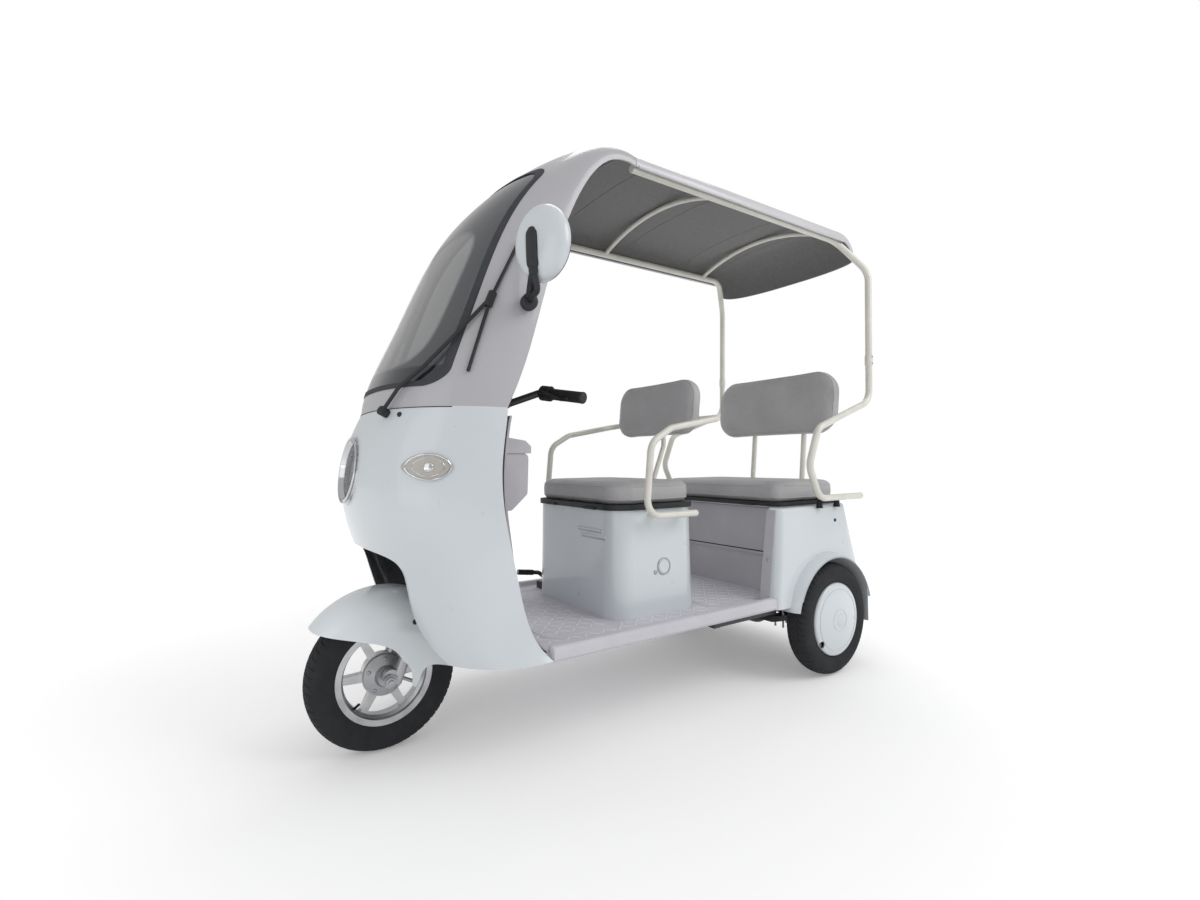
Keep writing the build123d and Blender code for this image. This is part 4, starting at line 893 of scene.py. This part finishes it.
# Front wheel and fender: hub bolts, axle nuts, valve and fender screws.
axle = wheelCentre["front"] * [0, 1, 1]
hubLook = {"bolts": 5, "plateRing": 0.046, "hubRing": 0.030, "bolt": 0.0055, "nut": 0.0135}
spokes = np.arange(hubLook["bolts"]) / hubLook["bolts"] * 2 * np.pi + 0.3
ringOut = np.c_[np.zeros(hubLook["bolts"]), np.cos(spokes), np.sin(spokes)]
fixings("brakePlateBolts", [("front_brake_plate", axle + xWay * 0.2 + way * hubLook["plateRing"],
                             (-1, 0, 0)) for way in ringOut], domedHead(hubLook["bolt"], 0.004),
        "steering", "silver_steel")
fixings("hubBolts", [("front_rim", axle - xWay * 0.2 + way * hubLook["hubRing"], (1, 0, 0))
                     for way in ringOut], domedHead(hubLook["bolt"], 0.004), "front_wheel",
        "silver_steel")
n = hubLook["nut"]
nutRows = [(-0.003, 0), (-0.003, n + 0.004), (0.0015, n + 0.004), (0.0015, n), (0.009, n),
           (0.010, n - 0.0015), (0.010, 0.0075), (0.015, 0.0075), (0.016, 0.0060), (0.016, 0)]
fixings("frontAxleNuts", [("front_fork", axle + xWay * side * 0.2, (-side, 0, 0)) for side, _ in sides],
        nutRows, "steering", "silver_steel", 24, 6, 0.05)
way = np.array([0, math.cos(3.9), math.sin(3.9)])
stem = [axle + xWay * 0.012 + way * 0.123, axle + xWay * 0.016 + way * 0.110,
        axle + xWay * 0.022 + way * 0.094]
fit(tubeAlong("frontValve", smoothPath(stem, 10), circleSection(0.0036, 10), False, (1, 0, 0)),
    "black_rubber", "front_wheel")
fixings("fenderScrews", [("front_fender", (side * 0.25, -0.791, 0.361), (-side, 0, 0)) for side, _ in sides],
        domedHead(0.0075, 0.0035), "steering", "black_steel")

# Rear wheels: covers with two raised rings and a centre cap.
coverLook = {"rings": ((0.112, 0.0018), (0.040, 0.0014)), "cap": 0.026}
for side, tag in sides:
    body = f"rear_wheel_{tag.lower()}"
    hub = wheelCentre[tag.lower()] * [0, 1, 1] + xWay * side * 0.6
    for number, (radius, thick) in enumerate(coverLook["rings"]):
        starts = turned(hub, radius, yWay, zWay, 72)
        bead(f"coverRing{tag}{number + 1}", f"wheel_cover_{tag.lower()}", starts, (-side, 0, 0), thick, body,
             "shell_paint", 0.0002)
    fixings(f"coverCap{tag}", [(f"wheel_cover_{tag.lower()}", hub, (-side, 0, 0))],
            plainCap(coverLook["cap"], 0.005), body, "shell_paint", 40)
print("wheels fitted")

# Seat box: two pressed louvres at the front and a blank round port cap on the left.
boxLook = {"louvres": ((0.042, 0.172, 0.578), (0.062, 0.192, 0.558)), "port": (-0.012, 0.456),
           "portRadius": 0.027}
for number, (low, high, height) in enumerate(boxLook["louvres"]):
    across = np.linspace(low, high, 12)
    for kind, drop, shape, slot in (("Hood", 0.0, (0.0036, 0.0052), "shell_paint"),
                                    ("Slot", -0.0068, (0.0012, 0.0022), "silver_steel")):
        starts = np.c_[across, np.full(12, -0.6), np.full(12, height + drop)]
        hood = tubeAlong(f"boxLouvre{kind}{number + 1}", skinPath("driver_seat_box", starts, (0, 1, 0)),
                         circleSection(1.0, 12) * shape, False, (0, 0, 1))
        fit(hood, slot)
py, pz = boxLook["port"]
portStart = np.array([0.6, py, pz])
k = boxLook["portRadius"]
bead("portRing", "driver_seat_box", turned(portStart, k, yWay, zWay, 48), (-1, 0, 0), 0.0024, "body",
     "silver_steel")
fixings("portCap", [("driver_seat_box", portStart, (-1, 0, 0))],
        [(-0.003, 0), (-0.003, k - 0.004), (0.0025, k - 0.005), (0.0036, k - 0.008), (0.0030, k - 0.012),
         (0.0030, 0)], "body", "shell_paint", 40)
fixings("portLug", [("driver_seat_box", (0.6, py - 0.037, pz - 0.016), (-1, 0, 0))],
        plainCap(0.0075, 0.004), "body", "silver_steel")
fixings("boxLock", [("driver_seat_box", (-0.6, -0.02, 0.612), (1, 0, 0))], domedHead(0.011, 0.004), "body",
        "chrome_trim")

# Rear body, bench and shield: blank buttons, locks and catches.
fixings("panelKnobs", [("bench_front_panel", (side * 0.334, 0.1, 0.444), (0, 1, 0)) for side, _ in sides],
        plainCap(0.0065, 0.005), "body", "silver_steel")
fixings("bodyButtons", [("rear_body", (side * 0.7, 0.772, 0.568), (-side, 0, 0)) for side, _ in sides],
        domedHead(0.0065, 0.003), "body", "black_plastic")
fixings("shieldLock", [("leg_shield", (0.045, 0.0, 0.800), (0, -1, 0))], domedHead(0.013, 0.005), "body",
        "chrome_trim")
for side, tag in sides:
    fixings(f"gloveCatch{tag}", [(f"glove_lid_{tag.lower()}", (side * 0.160, -0.3, 0.848), (0, -1, 0))],
            domedHead(0.010, 0.004), f"glove_door_{tag.lower()}", "chrome_trim")

across = np.linspace(-0.300, 0.300, 40)
joint = skinPath("bench_front_panel", np.c_[across, np.full(40, 0.2), np.full(40, 0.452)], (0, 1, 0))
fit(tubeAlong("panelJoint", joint, circleSection(0.0022, 8)), "black_plastic")

# Tube frame: plugs, sleeves with bolts and rubber feet.
tubeLook = {"pole": (0.385, 1.0068, 1.208), "sleeve": 0.021, "arm": (0.385, 0.9245, 0.6575),
            "hoop": (0.300, 0.088, 0.629), "feet": ((0.3725, 0.668, 0.620), (0.3725, 0.780, 0.620))}
pole = np.array(tubeLook["pole"])
k = tubeLook["sleeve"]
flip = [np.array([side, 1, 1]) for side, _ in sides]
fit(spin("poleSleeves", ringRows(-k, k, 0.0126, 0.0148), [pole * f for f in flip], (0, 0.022, 1), 28),
    "ivory_tube")
spots = [(pole + xWay * 0.0146 + zWay * s) * f for f in flip for s in (-0.013, 0.013)]
fit(spin("poleBolts", domedHead(0.0042, 0.0018), spots, [xWay * f for f in flip for _ in range(2)], 16),
    "silver_steel")
feet = [np.array(foot) * f for f in flip for foot in tubeLook["feet"]]
fit(spin("armFeet", [(0, 0), (0, 0.0125), (0.010, 0.0105), (0.022, 0.0105), (0.030, 0.006), (0.030, 0)],
         feet, zWay, 24), "black_rubber")
for kind, radius in (("arm", 0.0128), ("hoop", 0.0113)):
    plugs = [np.array(tubeLook[kind]) * f for f in flip]
    fit(spin(f"{kind}Plugs", plainCap(radius, 0.006), plugs, yWay, 28), "ivory_tube")
print("body and tubes fitted")

# Roof: edge moulding, sewn cross seams and press studs of the lining.
roofLook = {"edgeX": 0.3415, "edgeZ": 1.6975, "edgeStart": -0.180, "edgeEnd": 0.914, "edge": 0.0045,
            "seams": (-0.06, 0.30, 0.66, 0.88), "studX": 0.288, "studPitch": 0.118}
for side, tag in sides:
    line = np.linspace(roofLook["edgeStart"], roofLook["edgeEnd"], 24)
    path = np.c_[np.full(24, side * roofLook["edgeX"]), line, np.full(24, roofLook["edgeZ"])]
    fit(tubeAlong(f"roofEdge{tag}", path, circleSection(roofLook["edge"], 12)), "canopy_skin")
for number, y in enumerate(roofLook["seams"]):
    across = np.linspace(-0.292, 0.292, 60)
    starts = np.c_[across, np.full(60, y), np.full(60, 1.600)]
    fit(tubeAlong(f"liningSeam{number + 1}", skinPath("canopy_lining", starts, (0, 0, 1)),
                  circleSection(0.0014, 8), False, (0, 1, 0)), "lining_cloth")
rows = np.arange(-0.15, 0.90, roofLook["studPitch"])
fixings("liningStuds", [("canopy_lining", (side * roofLook["studX"], y, 1.60), (0, 0, 1))
                        for side, _ in sides for y in rows], plainCap(0.006, 0.0022), "body",
        "lining_cloth", 14)

# Tail: lamp rims, reflectors, a blank plate and its screws.
tailLook = {"x": 0.236, "z": 0.478, "half": (0.050, 0.024), "corner": 0.016, "rim": 0.0026}
u = circleSection(1.0, 72)
flat = np.array(tailLook["half"]) - tailLook["corner"]
outline = np.sign(u) * flat + tailLook["corner"] * u
for side, tag in sides:
    starts = np.c_[side * tailLook["x"] + outline[:, 0], np.full(72, 1.3), tailLook["z"] + outline[:, 1]]
    bead(f"tailRim{tag}", "tail_lights", starts, (0, -1, 0), tailLook["rim"], "body", "black_plastic")
    for number, step in enumerate((-0.026, 0.026)):
        spot = np.array([side * tailLook["x"] + step, 1.3, tailLook["z"]])
        bead(f"tailReflector{tag}{number + 1}", "tail_lights", turned(spot, 0.0150, xWay, zWay, 36),
             (0, -1, 0), 0.0012, "body", "chrome_trim")
fit(barRow("blankPlate", (0, 1.0061, 0.400), (1, 0, 0), yWay, (0.092, 0.050, 0.0016), 0.0006), "silver_steel")
fit(spin("plateScrews", domedHead(0.0060, 0.0032), [(0.07, 1.0078, 0.430), (-0.07, 1.0078, 0.430)], yWay,
         18), "black_steel")

# Running gear: spring U-bolts over the axle tube.
gearLook = {"x": (0.172, 0.208), "arch": 0.0345, "low": 0.132, "rod": 0.0042}
t = np.linspace(0, np.pi, 12)
rear = wheelCentre["left"]
along = rear[1] + gearLook["arch"] * np.r_[1, np.cos(t), -1]
high = np.r_[gearLook["low"], rear[2] + gearLook["arch"] * np.sin(t), gearLook["low"]]
for side, tag in sides:
    for number, x in enumerate(gearLook["x"]):
        fit(tubeAlong(f"springBolt{tag}{number + 1}", np.c_[np.full(14, side * x), along, high],
                      circleSection(gearLook["rod"], 10), False, (1, 0, 0)), "silver_steel")

# Hand brake: ribbed sleeve with a release button.
brakeLook = {"from": (-0.296, -0.196, 0.3673), "to": (-0.296, -0.262, 0.3758), "ribs": 9, "radius": 0.0102,
             "rib": 0.0008}
begin, end = np.array(brakeLook["from"]), np.array(brakeLook["to"])
run = np.linalg.norm(end - begin)
sleeve = ribbed(run, brakeLook["ribs"], brakeLook["radius"], lambda p: brakeLook["rib"] * np.sin(p))
fit(spin("handBrakeSleeve", sleeve, [begin], end - begin, 28), "black_rubber")
fit(spin("handBrakeButton", plainCap(0.0055, 0.006), [end], end - begin, 20), "chrome_trim")

# Deck: raised bars in a diamond lattice, left out under the seat box and where the floor steps.
deckLook = {"pitch": 0.044, "bar": (0.0150, 0.0024, 0.0013), "taper": 0.0009, "halfX": 0.350,
            "front": -0.500, "rear": 0.470, "boxHalf": 0.262, "boxFront": -0.224, "boxRear": 0.165,
            "rayFrom": 0.45, "lowest": 0.3, "level": 0.0004}
cells = np.arange(-26, 27)
i, j = (k.ravel() * deckLook["pitch"] for k in np.meshgrid(cells, cells, indexing="ij"))
middle = deckLook["pitch"] / 2
half = math.sqrt(0.5)
lattice = np.vstack([np.c_[(i + middle + j) * half, (i + middle - j) * half, np.zeros(len(i))],
                     np.c_[(i + j + middle) * half, (i - j - middle) * half, np.ones(len(i))]])


def within(half, front, rear):
    return (np.abs(lattice[:, 0]) < half) & (lattice[:, 1] > front) & (lattice[:, 1] < rear)


inside = within(deckLook["halfX"], deckLook["front"], deckLook["rear"])
lattice = lattice[inside & ~within(deckLook["boxHalf"], deckLook["boxFront"], deckLook["boxRear"])]
centres, alongs = [], []
for px, py, kind in lattice:
    way = np.array([half, half if kind < 0.5 else -half, 0])
    heights = []
    for step in (-0.017, 0.0, 0.017):
        above = Vector((px, py, deckLook["rayFrom"])) + Vector(way) * step
        hit, place, normal, _ = nodes["floor_pan"].ray_cast(above, Vector((0, 0, -1)))
        heights.append(place.z if hit and normal.z > 0.99 else -1)
    if min(heights) > deckLook["lowest"] and max(heights) - min(heights) < deckLook["level"]:
        centres.append((px, py, heights[1]))
        alongs.append(way)
ridges = barRow("deckRidges", centres, alongs, zWay, deckLook["bar"], deckLook["taper"])
# The ridges take the lighter deck plastic, a painted highlight.
fit(ridges, "floor_plastic", finish=ridgeHighlightFinish)
print("deck ridges laid:", len(centres))


# Stage: pale floor, soft lamps and the camera.

stageLook = {"lamps": {"keyLamp": ((3.3, 2.3, 3.4), (0, 0, 0.8), 2.6, 66.0),
                       "frontLamp": ((1.5, -3.2, 1.3), (0, -0.8, 0.6), 2.2, 12.0),
                       "topLamp": ((-1.0, 1.2, 4.4), (0, 0, 0.5), 2.0, 28.0)},
             "world": 0.62, "floor": "#F8F8F8", "nearWhite": 0.20, "farWhite": 0.45, "near": 0.9, "far": 3.4}


def seenBy(tree, *rays):
    # 1 for these two kinds of ray and 0 for the others.
    path = addNode(tree, "ShaderNodeLightPath")
    return math2(tree, "ADD", *(path.outputs[ray] for ray in rays), True)


floorPoints = np.array([[-14, -14, 0], [14, -14, 0], [14, 14, 0], [-14, 14, 0]], float)
floor = newPiece("paleFloor", floorPoints, np.array([[0, 1, 2, 3]]), False)
floorFinish = bpy.data.materials.new("paleFloorPaint")
floorFinish.use_nodes = True
tree = floorFinish.node_tree
tree.nodes.clear()
away = addNode(tree, "ShaderNodeVectorMath", {"operation": "LENGTH"}, {
    0: addNode(tree, "ShaderNodeTexCoord").outputs["Object"]}).outputs["Value"]
white = ramp(tree, away, stageLook["near"], stageLook["far"], stageLook["nearWhite"],
             stageLook["farWhite"], True)
seen = seenBy(tree, "Is Camera Ray", "Is Glossy Ray")
glow = addNode(tree, "ShaderNodeEmission", inputs={
    "Color": (1, 1, 1, 1), "Strength": math2(tree, "MULTIPLY", seen, white)})
matt = addNode(tree, "ShaderNodeBsdfDiffuse", inputs={"Color": linear(stageLook["floor"])})
both = addNode(tree, "ShaderNodeAddShader", inputs={0: matt.outputs[0], 1: glow.outputs[0]})
addNode(tree, "ShaderNodeOutputMaterial", inputs={"Surface": both.outputs[0]})
floor.data.materials.append(floorFinish)

world = bpy.data.worlds.new("softStudio")
scene.world = world
world.use_nodes = True
tree = world.node_tree
tree.nodes.clear()
seen = seenBy(tree, "Is Camera Ray", "Is Transmission Ray")
sky = addNode(tree, "ShaderNodeBackground", inputs={
    "Color": (1, 1, 1, 1), "Strength": ramp(tree, seen, 0.0, 1.0, stageLook["world"], 1.0)})
addNode(tree, "ShaderNodeOutputWorld", inputs={"Surface": sky.outputs[0]})

for name, (place, target, size, power) in stageLook["lamps"].items():
    lamp = bpy.data.lights.new(name, "AREA")
    lamp.shape, lamp.size, lamp.energy = "SQUARE", size, power
    holder = bpy.data.objects.new(name, lamp)
    holder.location = place
    holder.rotation_euler = (Vector(target) - Vector(place)).to_track_quat("-Z", "Y").to_euler()
    scene.collection.objects.link(holder)

cameraLook = {"place": (1.625, -1.288, 0.805), "turn": 57.16, "pitch": -1.32, "roll": -0.40,
              "lens": 16.76, "shiftX": 0.0303, "shiftY": -0.0018}
turn, pitch, roll = (math.radians(cameraLook[k]) for k in ("turn", "pitch", "roll"))
ahead = Vector((-math.sin(turn) * math.cos(pitch), math.cos(turn) * math.cos(pitch), -math.sin(pitch)))
right = ahead.cross(Vector((0, 0, 1))).normalized()
above = right.cross(ahead)
rightRolled = math.cos(roll) * right + math.sin(roll) * above
aboveRolled = rightRolled.cross(ahead)
lens = bpy.data.cameras.new("viewCamera")
lens.sensor_width, lens.lens = 36.0, cameraLook["lens"]
lens.shift_x, lens.shift_y = cameraLook["shiftX"], cameraLook["shiftY"]
lens.clip_start = 0.02
camera = bpy.data.objects.new("viewCamera", lens)
rows = zip(rightRolled, aboveRolled, -ahead, cameraLook["place"])
camera.matrix_world = Matrix((*rows, (0, 0, 0, 1)))
scene.collection.objects.link(camera)
scene.camera = camera
scene.view_settings.view_transform = "Standard"
print("stage and camera ready")
